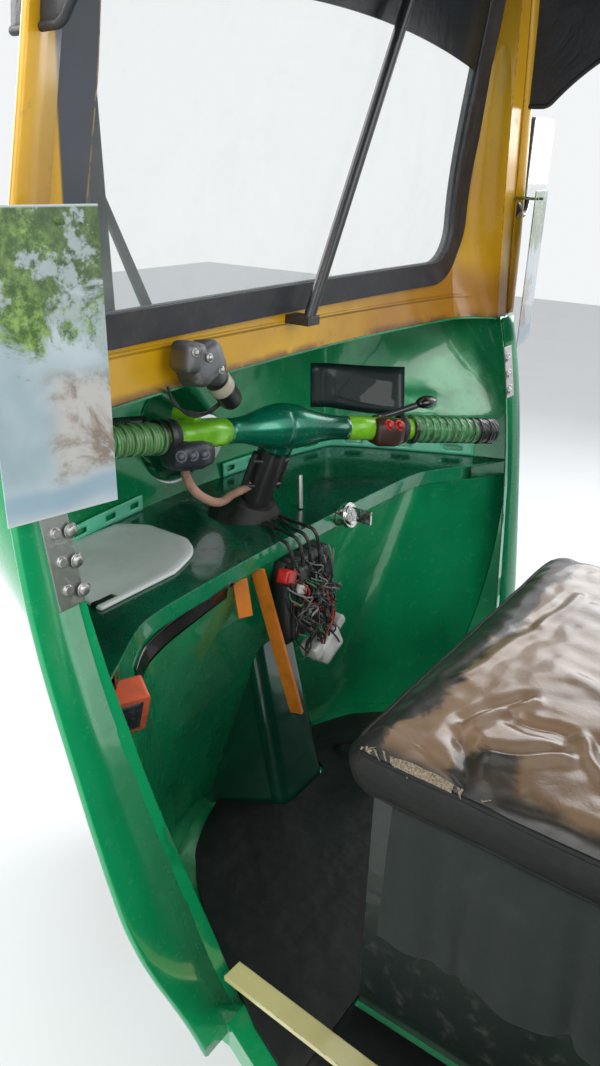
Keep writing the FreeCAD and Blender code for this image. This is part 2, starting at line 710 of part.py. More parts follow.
def damper():
    """Spring and damper from the link up to the bracket on the leg."""
    y0 = FORK_SIDE_Y + LINK_PIVOT_HALF + LINK_THICK + SOFT_GAP
    y = y0 + EYE_WIDTH / 2
    low = V(DAMPER_LOW.x, y, DAMPER_LOW.z)
    top = V(DAMPER_TOP.x, y, DAMPER_TOP.z)
    run = top - low
    pieces = [rod(V(spot.x, y0, spot.z), V(spot.x, y0 + EYE_WIDTH, spot.z), 12.0) for spot in (low, top)]
    pieces.append(rod(low, low + run * 0.6, EYE_WIDTH / 2 - 0.5))
    pieces.append(rod(low + run * 0.3, low + run * 0.86, 20.0))
    pieces.append(rod(low + run * 0.5, top, 8.0))
    return pieces[0].fuse(pieces[1:])


def front_mudguard():
    """Sheet over the tyre from ahead of the wheel to behind it."""
    inner = TYRE_R + GUARD_GAP
    outer = inner + GUARD_THICK
    centre = V(WHEEL_X, -GUARD_HALF, WHEEL_Z)
    width = 2 * GUARD_HALF
    ring = Part.makeCylinder(outer, width, centre, V(0, 1, 0)).cut(Part.makeCylinder(inner, width, centre, V(0, 1, 0)))
    side_ring = Part.makeCylinder(outer, width, centre, V(0, 1, 0)).cut(Part.makeCylinder(inner - 34.0, width, centre, V(0, 1, 0)))
    side = side_ring.cut(block(0.0, 700.0, -GUARD_HALF + GUARD_THICK, GUARD_HALF - GUARD_THICK, 0.0, 600.0))
    guard = ring.fuse(side)
    far = WHEEL_X + 330.0
    keep = Part.makePolygon([V(WHEEL_X, -90.0, WHEEL_Z), V(far, -90.0, WHEEL_Z + 40.0), V(far, -90.0, 700.0),
                             V(0.0, -90.0, 700.0), V(0.0, -90.0, WHEEL_Z + 160.0), V(WHEEL_X, -90.0, WHEEL_Z)])
    wedge = Part.Face(keep).extrude(V(0, 180.0, 0))
    spot = leg_point(0.19)
    tab = rod(V(spot.x, GUARD_HALF - 1.0, spot.z), V(spot.x, FORK_SIDE_Y - FORK_R - SOFT_GAP, spot.z), 12.0)
    return guard.common(wedge).fuse(tab)


def tyre():
    """Tyre section turned about the axle."""
    half = TYRE_WIDTH / 2
    bead = RIM_R
    points = [V(WHEEL_X, -34.0, WHEEL_Z + bead), V(WHEEL_X, -half, WHEEL_Z + bead + 42.0), V(WHEEL_X, -half + 8.0, WHEEL_Z + TYRE_R - 18.0),
              V(WHEEL_X, -half + 30.0, WHEEL_Z + TYRE_R - 3.0), V(WHEEL_X, half - 30.0, WHEEL_Z + TYRE_R - 3.0), V(WHEEL_X, half - 8.0, WHEEL_Z + TYRE_R - 18.0),
              V(WHEEL_X, half, WHEEL_Z + bead + 42.0), V(WHEEL_X, 34.0, WHEEL_Z + bead)]
    edges = [
        Part.LineSegment(points[7], points[0]).toShape(),
        Part.LineSegment(points[0], points[1]).toShape(),
        Part.LineSegment(points[1], points[2]).toShape(),
        Part.LineSegment(points[2], points[3]).toShape(),
        Part.Arc(points[3], V(WHEEL_X, 0, WHEEL_Z + TYRE_R), points[4]).toShape(),
        Part.LineSegment(points[4], points[5]).toShape(),
        Part.LineSegment(points[5], points[6]).toShape(),
        Part.LineSegment(points[6], points[7]).toShape(),
    ]
    face = Part.Face(Part.Wire(edges))
    return face.revolve(V(WHEEL_X, 0, WHEEL_Z), V(0, 1, 0), 360)


def wheel_rim():
    """Pressed rim and disc with the hub drum."""
    centre = V(WHEEL_X, 0, WHEEL_Z)
    y = V(0, 1, 0)
    barrel = Part.makeCylinder(RIM_R - 0.2, 84.0, centre - y * 42.0, y).cut(Part.makeCylinder(RIM_R - RIM_WALL, 84.0, centre - y * 42.0, y))
    disc = Part.makeCylinder(RIM_R - RIM_WALL + 1.0, 5.0, centre - y * 20.0, y)
    drum = Part.makeCylinder(HUB_R, 56.0, centre - y * 20.0, y)
    rim = barrel.fuse([disc, drum])
    rim = rim.cut(Part.makeCylinder(AXLE_R + RUNNING_GAP, 140.0, centre - y * 70.0, y))
    for number in range(5):
        angle = 2 * math.pi * number / 5
        spot = V(WHEEL_X + 84.0 * math.cos(angle), -40.0, WHEEL_Z + 84.0 * math.sin(angle))
        rim = rim.cut(Part.makeCylinder(11.0, 60.0, spot, y))
    return rim


def brake_pedal():
    """Foot pedal on its arm at the right of the housing."""
    arm = bent_tube([V(70.0, -120.0, 345.0), V(20.0, -120.0, 372.0), V(-36.0, -120.0, 420.0)], 7.0, 30.0)
    pad = block(-62.0, -22.0, -160.0, -80.0, 420.0, 432.0)
    return arm.fuse(pad)


def start_lever():
    """Flat hand lever beside the seat that starts the engine, on its floor bracket."""
    bar = block(0.0, LEVER_LENGTH, -13.0, 13.0, 0.0, 7.0)
    bar.rotate(V(0, 0, 0), V(0, 0, 1), 176.0)
    bar.rotate(V(0, 0, 0), V(0, 1, 0), 2.0)
    bar.translate(V(-112.0, 372.0, 398.0))
    foot = block(-440.0, -400.0, 370.0, 376.0, FLOOR_Z, 425.0)
    pin = rod(V(-420.0, 376.0, 404.0), V(-420.0, 381.0, 404.0), 9.0)
    flange = block(-440.0, -400.0, 340.0, 376.0, FLOOR_Z, FLOOR_Z + 4.0)
    return bar.fuse([foot, pin, flange])


def side_films(surround):
    """Clear printed films that hang behind the pillars as wind guards."""
    film = block(0.0, FILM_WIDTH, -FILM_THICK / 2, FILM_THICK / 2, FILM_LOW_Z, FILM_TOP_Z)
    film.rotate(V(0, 0, 0), V(0, 0, 1), FILM_TURN)
    film.translate(FILM_INNER)
    for y in (FILM_INNER.y + 14.0, FILM_INNER.y + 34.0):
        film = film.fuse(rod(V(-1.0, y, FILM_TOP_Z - 12.0), V(FILM_INNER.x, y, FILM_TOP_Z - 12.0), 2.0))
    return paired(film, surround)


def edge_strip(y_in, y_out, low, top, proud):
    """Plate on the rear face of the door edge, between two heights."""
    wires = []
    for row in NOSE_ROWS:
        height, edge_x = row[:2]
        x0 = edge_x - proud
        x1 = edge_x - SOFT_GAP
        wires.append(Part.makePolygon([V(x0, y_in, height), V(x1, y_in, height), V(x1, y_out, height),
                                       V(x0, y_out, height), V(x0, y_in, height)]))
    strip = Part.makeLoft(wires, True, False)
    return strip.common(block(-300.0, 100.0, y_in - 1.0, y_out + 1.0, low, top))


def door_brackets():
    """Riveted plate on each door edge, at the pillar's foot."""
    plate = edge_strip(468.0, 497.0, BRACKET_LOW_Z, BRACKET_TOP_Z, 3.3)
    heads = edge_strip(478.0, 490.0, BRACKET_LOW_Z, BRACKET_TOP_Z, 5.8)
    for number in range(3):
        height = BRACKET_LOW_Z + 16.0 + 26.0 * number
        plate = plate.fuse(rod(V(-60.0, 484.0, height), V(20.0, 484.0, height), 4.5).common(heads))
    return paired(plate)


def windscreen_stay(space):
    """Bar from the panel below the glass up to the header, with a plate at each end."""
    low = V(54.0, 17.0, SCREEN_LOW_Z - 40.0)
    top = V(-2.0, -168.0, SCREEN_TOP_Z + 40.0)
    bar = rod(low, top, STAY_R)
    foot = block(46.0, 110.0, 5.0, 29.0, low.z - 8.0, low.z + 3.0)
    head = block(-12.0, 60.0, -182.0, -154.0, top.z - 3.0, top.z + 8.0)
    return bar.fuse([foot, head]).common(space)


def wiper_motor(space):
    """Motor and gear case on the panel below the glass."""
    z0 = BELT_Z + 12.0
    case = block(46.0, 110.0, 196.0, 258.0, z0, z0 + 40.0)
    case = case.makeFillet(9.0, [e for e in case.Edges if abs(e.CenterOfMass.x - 46.0) > 1.0 and e.Length > 50.0])
    motor = rod(V(60.0, 200.0, z0 + 17.0), V(44.0, 138.0, z0 - 16.0), 18.0)
    cap = rod(V(44.0, 138.0, z0 - 16.0), V(41.4, 128.0, z0 - 21.3), 13.0)
    return case.fuse([motor, cap]).common(space)


def wiper_arm():
    """Spindle, arm and blade outside the glass."""
    pivot = V(102.0, 227.0, 1079.0)
    spindle = rod(V(60.0, pivot.y, pivot.z), V(pivot.x + 8.0, pivot.y, pivot.z), 7.0)
    blade_low = V(104.0, 308.0, 1122.0)
    blade_top = V(78.0, 334.0, 1392.0)
    middle = (blade_low + blade_top) * 0.5
    arm = flat_bar(pivot, middle + V(5.0, 0, 0), 13.0, 8.0, 5.0)
    blade = flat_bar(blade_low, blade_top, 22.0, 13.0, 9.0)
    wiper = spindle.fuse([arm, blade])
    return wiper.cut(skin_body([grown(row, SOFT_GAP) for row in SCREEN_ROWS]))


def flat_bar(start, end, width_start, width_end, thick):
    """Straight flat bar between two points, its width across X."""
    run = end - start
    w0 = width_start / 2
    w1 = width_end / 2
    profile = Part.makePolygon([V(0, -w0, 0), V(0, w0, 0), V(0, w1, run.Length), V(0, -w1, run.Length), V(0, -w0, 0)])
    bar = Part.Face(profile).extrude(V(thick, 0, 0))
    bar.translate(V(-thick / 2, 0, 0))
    bar.Placement = FreeCAD.Placement(start, FreeCAD.Rotation(V(0, 0, 1), run)).multiply(bar.Placement)
    return bar


def tray_plate(inside):
    """Pale round-cornered plate that lies in the tray."""
    z0 = TRAY_Z + SOFT_GAP
    disc = Part.makeCylinder(92.0, 5.0, V(190.0, 262.0, z0))
    tongue = block(118.0, 200.0, 300.0, 368.0, z0, z0 + 5.0)
    tongue = tongue.makeFillet(24.0, [e for e in tongue.Edges if e.Length < 6.0])
    return disc.fuse(tongue).common(inside)


def side_mirrors():
    """Black mirror head on a bent stalk at each pillar."""
    head = block(4.0, 28.0, 516.0, 604.0, 1224.0, 1344.0)
    head = head.makeFillet(10.0, [e for e in head.Edges if e.Length < 30.0])
    stalk = bent_tube([V(4.0, 470.0, 1210.0), V(14.0, 540.0, 1196.0), V(16.0, 560.0, 1240.0)], 6.0, 18.0)
    foot = Part.makeCylinder(15.0, 10.0, V(4.0, 462.0, 1209.0), V(0, 1, 0))
    mirror = head.fuse([stalk, foot])
    return mirror


def paired(shape, *others):
    """The shape, less what it has to clear, and its mirror image."""
    piece = shape.cut(list(others)) if others else shape
    return Part.makeCompound([piece, mirror_y(piece)])


def ignition_lock():
    """Round lock with its key on the tray's lip."""
    face = KNEE_ROWS[-1][5] - TRAY_LIP_THICK - 1.6
    barrel = rod(V(face + 20.0, LOCK_Y, TRAY_Z - 16.0), V(face - 22.0, LOCK_Y, TRAY_Z - 2.0), 15.0)
    flange = rod(V(face - 12.0, LOCK_Y, TRAY_Z - 5.3), V(face - 19.0, LOCK_Y, TRAY_Z - 3.0), 19.0)
    key = block(face - 54.0, face - 20.0, LOCK_Y - 2.0, LOCK_Y + 2.0, TRAY_Z - 10.0, TRAY_Z + 10.0)
    return barrel.fuse([flange, key]).common(block(-100.0, face, -300.0, 300.0, 600.0, 900.0))


def fuse_box(free):
    """Fuse holders in a cluster below the lip, with the pale relay under them."""
    cluster = block(38.0, 140.0, -34.0, 66.0, 660.0, 752.0)
    relay = block(20.0, 140.0, -66.0, -8.0, 556.0, 604.0)
    relay = relay.makeFillet(5.0, [e for e in relay.Edges if e.CenterOfMass.x < 100.0])
    neck = block(60.0, 140.0, -40.0, -20.0, 600.0, 664.0)
    box = cluster.fuse([relay, neck]).common(free)
    return box.cut([housing_wedge(-SOFT_GAP), head_tube_body(SOFT_GAP)])


def cable_strips(free):
    """Two orange straps that hang from the lip beside the fuses."""
    top_z = TRAY_Z - TRAY_LIP_DROP - 4 * SOFT_GAP
    short = flat_bar(V(69.5, 138.0, top_z), V(56.0, 142.0, top_z - 50.0), 20.0, 20.0, 6.0)
    long = flat_bar(V(69.5, 100.0, top_z), V(30.0, 54.0, top_z - 242.0), 20.0, 20.0, 6.0)
    return Part.makeCompound([short.common(free), long.common(free)])


def meter_box(free):
    """Small framed meter on an angle bracket at the left end of the lip."""
    body = block(-14.0, 14.0, -24.0, 24.0, -32.0, 32.0)
    body = body.makeFillet(5.0, [e for e in body.Edges if e.Length < 30.0])
    body.rotate(V(0, 0, 0), V(0, 1, 0), -24.0)
    body.rotate(V(0, 0, 0), V(0, 0, 1), -24.0)
    body.translate(V(8.0, 405.0, 738.0))
    shelf = block(6.0, 120.0, 396.0, 440.0, 736.0, 740.0)
    plate = block(6.0, 10.0, 396.0, 446.0, 730.0, 756.0)
    knob = rod(V(-10.0, 434.0, 744.0), V(12.0, 434.0, 744.0), 9.0)
    return body.fuse([shelf, plate, knob]).common(free)


def column_boot():
    """Rubber boot round the column on the tray."""
    base = axis_point(TRAY_Z + 26.0)
    outer = cone(axis_point(TRAY_Z - 14.0), base, 62.0, STEM_R + 9.0)
    outer = outer.common(block(0.0, 400.0, -200.0, 200.0, TRAY_Z, TRAY_Z + 80.0))
    return outer.cut([rod(axis_point(700.0), axis_point(900.0), STEM_R + SOFT_GAP), head_tube_body(SOFT_GAP)])


def indicators():
    """Amber lamp on each corner of the nose."""
    lamp = Part.makeCylinder(26.0, 60.0, V(268.0, 330.0, 880.0), V(0.82, 0.57, 0))
    dome = lamp.common(grown_nose(12.0))
    return paired(dome, grown_nose(SOFT_GAP))


def backrest():
    """Pad on the partition behind the driver."""
    x0 = CAB_REAR_X + SKIN + SOFT_GAP
    pad = block(x0, x0 + 46.0, -255.0, 255.0, 790.0, 955.0)
    return pad.makeFillet(18.0, [e for e in pad.Edges if e.CenterOfMass.x > x0 + 1.0])


def sun_band():
    """Tinted strip over the top of the glass, on its inner face."""
    inner_face = GLASS_INSET + GLASS_THICK + SOFT_GAP
    slab = screen_slab(-inner_face, inner_face + 1.0)
    arch = Part.makeCylinder(1900.0, 400.0, V(-200.0, 0, 1428.0 - 1900.0), V(1, 0, 0))
    return slab.common(screen_plug(-3.0)).cut(arch)


def bar_spot(side, along, forward=0.0, up=0.0):
    """Point beside one half of the handlebar: along it, ahead of it and above it."""
    ahead = V(math.cos(math.radians(BAR_SWEEP)), side * math.sin(math.radians(BAR_SWEEP)), 0)
    return bar_centre() + bar_direction(side) * along + ahead * forward + V(0, 0, up)


def switch_pod(side, gap=0.0):
    """Switch box under the bar beside the grip."""
    start = bar_spot(side, 142.0 - gap, -8.0, -26.0)
    end = bar_spot(side, 202.0 + gap, -8.0, -26.0)
    pod = rod(start, end, 19.0 + gap)
    return pod.cut(bar_piece(side, COVER_HALF, GRIP_START, SLEEVE_R + SOFT_GAP))


def grip(side):
    """Grip with its collar and its end cap."""
    body = bar_piece(side, GRIP_START + 6.0, BAR_HALF - 6.0, GRIP_R)
    collar = bar_piece(side, GRIP_START, GRIP_START + 7.0, GRIP_R + 3.0)
    cap = bar_piece(side, BAR_HALF - 14.0, BAR_HALF, GRIP_R + 1.0)
    body = body.fuse([collar, cap])
    for number in range(9):
        along = GRIP_START + 18.0 + 12.5 * number
        body = body.fuse(bar_piece(side, along, along + 6.0, GRIP_R + 1.5))
    return body


def clutch_lever():
    """Hand lever ahead of the left grip, on its clamp."""
    clamp = rod(bar_spot(1, 190.0, 0.0, 0.0), bar_spot(1, 202.0, 0.0, 0.0), SLEEVE_R + 5.0)
    arm = rod(bar_spot(1, 196.0, 14.0, 4.0), bar_spot(1, 206.0, 44.0, 8.0), 7.0)
    lever = rod(bar_spot(1, 200.0, 44.0, 8.0), bar_spot(1, 330.0, 40.0, 8.0), 9.0)
    piece = clamp.fuse([arm, lever])
    return piece.cut([bar_piece(1, COVER_HALF, GRIP_START, SLEEVE_R + SOFT_GAP), switch_pod(1, SOFT_GAP)])


def loom_sheath():
    """Sheathed wires from the left switch pod down beside the column."""
    points = [bar_spot(1, 168.0, -10.0, -36.0), bar_spot(1, 150.0, -6.0, -84.0),
              V(118.0, 72.0, 842.0), V(132.0, 34.0, 836.0)]
    return bent_tube(points, SHEATH_R, 26.0).cut(switch_pod(1, SOFT_GAP))


def nodes():
    inside = nose_cavity(SOFT_GAP)
    nose = nose_panel()
    surround = windscreen_surround()
    space = screen_space()
    free = knee_space().common(inside)
    parts = {
        "nose_panel": nose,
        "wheel_housing": wheel_housing(inside),
        "windscreen_surround": surround,
        "windscreen_glass": windscreen_glass(),
        "windscreen_seal": windscreen_seal(surround),
        "windscreen_stay": windscreen_stay(space),
        "sun_band": sun_band(),
        "wiper_motor": wiper_motor(space),
        "wiper_arm": wiper_arm(),
        "knee_panel": knee_panel(inside),
        "dash_tray": dash_tray(inside),
        "tray_plate": tray_plate(inside),
        "column_boot": column_boot(),
        "ignition_lock": ignition_lock(),
        "fuse_box": fuse_box(free),
        "cable_strips": cable_strips(free),
        "meter_box": meter_box(free),
        "floor_panel": floor_panel(nose),
        "floor_mat": floor_mat(nose),
        "chassis_frame": chassis_frame(),
        "seat_box": seat_box(),
        "seat_cushion": seat_cushion(),
        "seat_skirt": seat_skirt(),
        "backrest": backrest(),
        "partition": partition(),
        "roof_frame": roof_frame(),
        "canopy": canopy(surround),
        "headlamp": headlamp(),
        "indicators": indicators(),
        "side_mirrors": paired(side_mirrors(), surround),
        "side_films": side_films(surround),
        "door_brackets": door_brackets(),
        "start_lever": start_lever(),
        "brake_pedal": brake_pedal(),
        "steering_column": steered(steering_column()),
        "handlebar_cover": steered(handlebar_cover()),
        "clutch_lever": steered(clutch_lever()),
        "loom_sheath": steered(loom_sheath()),
        "axle_link": steered(axle_link()),
        "damper": steered(damper()),
        "front_mudguard": steered(front_mudguard()),
        "tyre": steered(tyre()),
        "wheel_rim": steered(wheel_rim()),
    }
    for side, name in ((1, "left"), (-1, "right")):
        sleeve = bar_piece(side, COVER_HALF, GRIP_START, SLEEVE_R)
        parts["bar_sleeve_" + name] = steered(sleeve)
        parts["grip_" + name] = steered(grip(side))
        parts["switch_pod_" + name] = steered(switch_pod(side))
    return parts


def main():
    os.makedirs("parts", exist_ok=True)
    for name, shape in nodes().items():
        shape.translate(V(-CAB_REAR_X, 0, -BEAM_Z))
        print(name, shape.isValid(), len(shape.Solids), round(shape.Volume / 1000.0, 1))
        shape.exportStep("parts/" + name + ".step")


main()
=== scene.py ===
"""Looks for the driver's cab of a three-wheeled taxi: paint, vinyl, rubber, glass and wiring."""

import random
from math import copysign, cos, exp, hypot, pi, radians, sin, sqrt

import bmesh
import bpy
import numpy as np
from mathutils import Matrix, Vector, noise
from mathutils.bvhtree import BVHTree


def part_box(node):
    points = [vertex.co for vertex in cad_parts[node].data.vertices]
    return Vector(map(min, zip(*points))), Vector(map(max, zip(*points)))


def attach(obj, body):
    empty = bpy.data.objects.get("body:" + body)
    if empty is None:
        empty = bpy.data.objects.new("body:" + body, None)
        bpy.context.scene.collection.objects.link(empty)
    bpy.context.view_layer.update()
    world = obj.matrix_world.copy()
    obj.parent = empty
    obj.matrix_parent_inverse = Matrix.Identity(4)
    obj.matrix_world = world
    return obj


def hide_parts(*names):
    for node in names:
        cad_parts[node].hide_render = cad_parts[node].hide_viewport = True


bl_info = {
    "name": "Taxi cab looks",
    "version": (1, 0, 0),
    "blender": (4, 5, 0),
    "location": "View3D > Sidebar > Cab",
    "description": "Finishes and soft pieces for the driver's cab of a three-wheeled taxi",
    "category": "Object",
}

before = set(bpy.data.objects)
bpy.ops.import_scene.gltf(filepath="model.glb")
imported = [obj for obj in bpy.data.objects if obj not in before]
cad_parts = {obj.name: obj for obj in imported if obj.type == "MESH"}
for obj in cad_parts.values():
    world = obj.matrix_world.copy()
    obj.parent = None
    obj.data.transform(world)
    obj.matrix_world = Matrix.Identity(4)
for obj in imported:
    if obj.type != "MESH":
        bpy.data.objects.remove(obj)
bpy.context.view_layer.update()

MM = 0.001
UP = Vector((0, 0, 1))
# The CAD source measures from the pillar feet and the ground; these move that to the row frame.
SHIFT = Vector((600, 0, -290))
GROUND_Z = -0.29

# Steering axis, as in the CAD source.
AXIS_TOP = Vector((152, 0, 815))
RAKE = radians(20.3)
AXIS_UP = Vector((-sin(RAKE), 0, cos(RAKE)))
REST_TURN = radians(-20.9)
BAR_CENTRE = AXIS_TOP + AXIS_UP * ((935 - AXIS_TOP.z) / AXIS_UP.z)
BAR_SWEEP = radians(11.06)
WHEEL_CENTRE = Vector((350, 0, 205))
# Rubber bands round the bar: place along it in mm, radius and thickness in metres.
RING_ALONG = 192
RING_RADIUS = 0.019
RING_TUBE = 0.0024
# How far the cables lie to each side of the column, in mm.
CABLE_ACROSS = 29


def at(x, y, z):
    """A point of the CAD source, in metres in the row frame."""
    return (Vector((x, y, z)) + SHIFT) * MM


# Where the photograph was taken from.
PHOTO_EYE = at(-569, 901, 1271)


def steer_matrix():
    """Turns pieces built straight ahead to the rest position of the steering."""
    pivot = (AXIS_TOP + SHIFT) * MM
    turn = Matrix.Rotation(REST_TURN, 4, AXIS_UP)
    return Matrix.Translation(pivot) @ turn @ Matrix.Translation(-pivot)


def bar_point(side, along, forward=0, up=0):
    """A point beside the handlebar, straight ahead, in metres."""
    arm = Vector((-sin(BAR_SWEEP), side * cos(BAR_SWEEP), 0))
    return (BAR_CENTRE + arm * along + Vector((forward, 0, up)) + SHIFT) * MM


# Sizes and colours


def tint(name, about, value):
    return bpy.props.FloatVectorProperty(
        name=name, description=about, default=value, size=3, subtype="COLOR", min=0, max=1
    )


def length(name, about, value):
    return bpy.props.FloatProperty(
        name=name, description=about, default=value, unit="LENGTH", min=0
    )


class CabColours(bpy.types.PropertyGroup):
    """Colours of the cab's finishes."""

    green: tint("Green paint", "Emerald enamel of the panels", (0.004, 0.35, 0.122))
    tray: tint("Tray paint", "Darker green of the dash tray", (0.002, 0.11, 0.056))
    yellow: tint("Yellow paint", "Golden enamel round the windscreen", (0.74, 0.4, 0.008))
    # Darker brown yellow used towards the right and below the windscreen.
    rust: tint("Old yellow", "Browned yellow below the windscreen", (0.42, 0.17, 0.014))
    slate: tint("Slate paint", "Dark inner face of the left pillar", (0.045, 0.052, 0.07))
    cover: tint("Bar cover", "Metallic green of the handlebar cover", (0.003, 0.23, 0.135))
    lime: tint("Lime castings", "Yellow-green of the bar castings", (0.22, 0.62, 0.02))
    grip: tint("Grip rubber", "Green of the ribbed grips", (0.045, 0.25, 0.085))
    vinyl: tint("Seat vinyl", "Black vinyl of the seat", (0.013, 0.014, 0.014))
    film: tint("Seat film", "Beige haze of the clear seat cover", (0.235, 0.15, 0.092))
    skirt: tint("Skirt cloth", "Grey-green cloth under the seat", (0.01, 0.016, 0.015))
    canopy: tint("Canopy", "Dark vinyl cloth of the roof", (0.016, 0.019, 0.026))
    cream: tint("Lever paint", "Pale yellow of the start lever", (0.62, 0.56, 0.26))


class CabSizes(bpy.types.PropertyGroup):
    """Sizes of the soft and fine pieces."""

    crown: length("Seat crown", "Rise of the seat's middle", 0.01)
    wrinkle: length("Seat wrinkles", "Depth of the folds in the seat cover", 0.0072)
    welt: length("Piping", "Radius of the piping round the seat", 0.0032)
    tread: length("Tread", "Depth of the tyre's grooves", 0.005)
    sag: length("Canopy sag", "Sag of the canopy between its bows", 0.007)
    hem: length("Hem", "Radius of the canopy's hem", 0.0035)
    wire: length("Wire", "Radius of the thin wires", 0.0013)


def colours():
    return bpy.context.scene.cab_colours


def sizes():
    return bpy.context.scene.cab_sizes


def shade(name):
    """One of the cab's colours as red, green and blue."""
    return tuple(getattr(colours(), name))


# Shader maths


def pick(sockets, key):
    """A node's socket by number, identifier or name."""
    if isinstance(key, int):
        return sockets[key]
    for socket in sockets:
        if socket.identifier == key:
            return socket
    wanted = key.replace("_", " ")
    for socket in sockets:
        if socket.name == wanted:
            return socket
    raise KeyError(key)


class Field:
    """A value over a surface. Sums written with it add Math nodes."""

    def __init__(self, finish, socket):
        self.finish = finish
        self.socket = socket

    def maths(self, operation, first, second):
        return self.finish.add("Math", {"operation": operation}, Value=first, Value_001=second)

    def __add__(self, other):
        return self.maths("ADD", self, other)

    def __radd__(self, other):
        return self.maths("ADD", other, self)

    def __sub__(self, other):
        return self.maths("SUBTRACT", self, other)

    def __rsub__(self, other):
        return self.maths("SUBTRACT", other, self)

    def __mul__(self, other):
        return self.maths("MULTIPLY", self, other)

    def __rmul__(self, other):
        return self.maths("MULTIPLY", other, self)

    def __abs__(self):
        return self.maths("ABSOLUTE", self, 0)

    def most(self, other):
        return self.maths("MAXIMUM", self, other)


class Nodes:
    """A node tree that is filled from nothing."""

    def __init__(self, owner):
        owner.use_nodes = True
        self.tree = owner.node_tree
        self.tree.nodes.clear()

    def add(self, kind, settings=None, out=0, **values):
        """Adds a node: its settings first, then its sockets' values or links."""
        node = self.tree.nodes.new("ShaderNode" + kind)
        for key, value in (settings or {}).items():
            setattr(node, key, value)
        for key, value in values.items():
            socket = pick(node.inputs, key)
            if isinstance(value, Field):
                self.tree.links.new(value.socket, socket)
            elif socket.type == "RGBA":
                socket.default_value = (*value[:3], 1)
            else:
                socket.default_value = value
        return Field(self, pick(node.outputs, out)) if len(node.outputs) else node


class Finish(Nodes):
    """One material and the nodes that make it."""

    def __init__(self, name):
        self.material = bpy.data.materials.new(name)
        super().__init__(self.material)
        self.place = self.add("TexCoord", out="Object")

    def axis(self, letter):
        """The row frame's x, y or z over the surface, in metres."""
        return self.add("SeparateXYZ", out=letter.upper(), Vector=self.place)

    def stretched(self, x, y, z):
        """Coordinates made longer or shorter along each axis."""
        return self.add("VectorMath", {"operation": "MULTIPLY"}, Vector=self.place, Vector_001=(x, y, z))

    def measured(self, operation, first, second):
        """A number worked out from two vectors."""
        return self.add("VectorMath", {"operation": operation}, out="Value", Vector=first, Vector_001=second)

    def grain(self, scale, detail=3, rough=0.55, warp=0, where=None):
        """Cloudy noise from 0 to 1."""
        return self.add(
            "TexNoise", Vector=where or self.place,
            Scale=scale, Detail=detail, Roughness=rough, Distortion=warp,
        )

    def patches(self, scale, low, high, *cloud, **more):
        """Cloudy noise cut between two levels: 0 outside its patches, 1 inside."""
        return self.ramp(self.grain(scale, *cloud, **more), low, high)

    def uneven(self, normal, scale, depth, *cloud, **more):
        """Relief of cloudy noise over other normals."""
        return self.bump(self.grain(scale, *cloud, **more), depth, normal=normal)

    def cells(self, scale, feature="F1", where=None, loose=1):
        """Distances in a pattern of cells."""
        return self.add(
            "TexVoronoi", {"feature": feature}, out="Distance",
            Vector=where or self.place, Scale=scale, Randomness=loose,
        )

    def waves(self, scale, direction="X", where=None):
        """Parallel bands from 0 to 1."""
        return self.add(
            "TexWave", {"bands_direction": direction}, out="Fac",
            Vector=where or self.place, Scale=scale, Detail=2,
        )

    def ramp(self, value, low, high):
        """0 at low, 1 at high, smooth between. Low may be the larger."""
        return self.add(
            "MapRange", {"interpolation_type": "SMOOTHSTEP"}, out="Result",
            Value=value, From_Min=low, From_Max=high,
        )

    def near(self, point, inner, outer, ragged=0):
        """1 within the inner distance of a point, 0 past the outer one."""
        return self.ramp(self.measured("DISTANCE", self.place, tuple(point)) + ragged, outer, inner)

    def mix(self, first, second, share):
        """One colour turning into another."""
        return self.add(
            "Mix", {"data_type": "RGBA"}, out="Result_Color",
            A_Color=first, B_Color=second, Factor_Float=share,
        )

    def facing(self, x, y, z):
        """How far the surface faces a direction, from -1 to 1."""
        normal = self.add("NewGeometry", out="Normal")
        return self.measured("DOT_PRODUCT", normal, tuple(Vector((x, y, z)).normalized()))

    def rounded(self, radius):
        """Normals that soften hard edges."""
        return self.add("Bevel", {"samples": 4}, Radius=radius)

    def edges(self, softened):
        """1 along hard edges, 0 on flat faces."""
        sharp = self.add("NewGeometry", out="Normal")
        return self.ramp(1 - self.measured("DOT_PRODUCT", softened, sharp), 0.015, 0.12)

    def softened(self, radius):
        """Rounded normals, and where the edges are that they round."""
        soft = self.rounded(radius)
        return soft, self.edges(soft)

    def bump(self, height, distance, normal=None, strength=1):
        """Relief of a real depth, in metres."""
        values = {"Height": height, "Distance": distance, "Strength": strength}
        if normal is not None:
            values["Normal"] = normal
        return self.add("Bump", out="Normal", **values)

    def shader(self, paint, rough, normal=None, **values):
        """Ends the material with its surface."""
        if normal:
            values["Normal"] = normal
        surface = self.add("BsdfPrincipled", out="BSDF", Base_Color=paint, Roughness=rough, **values)
        self.add("OutputMaterial", Surface=surface)
        return self.material


# Finishes


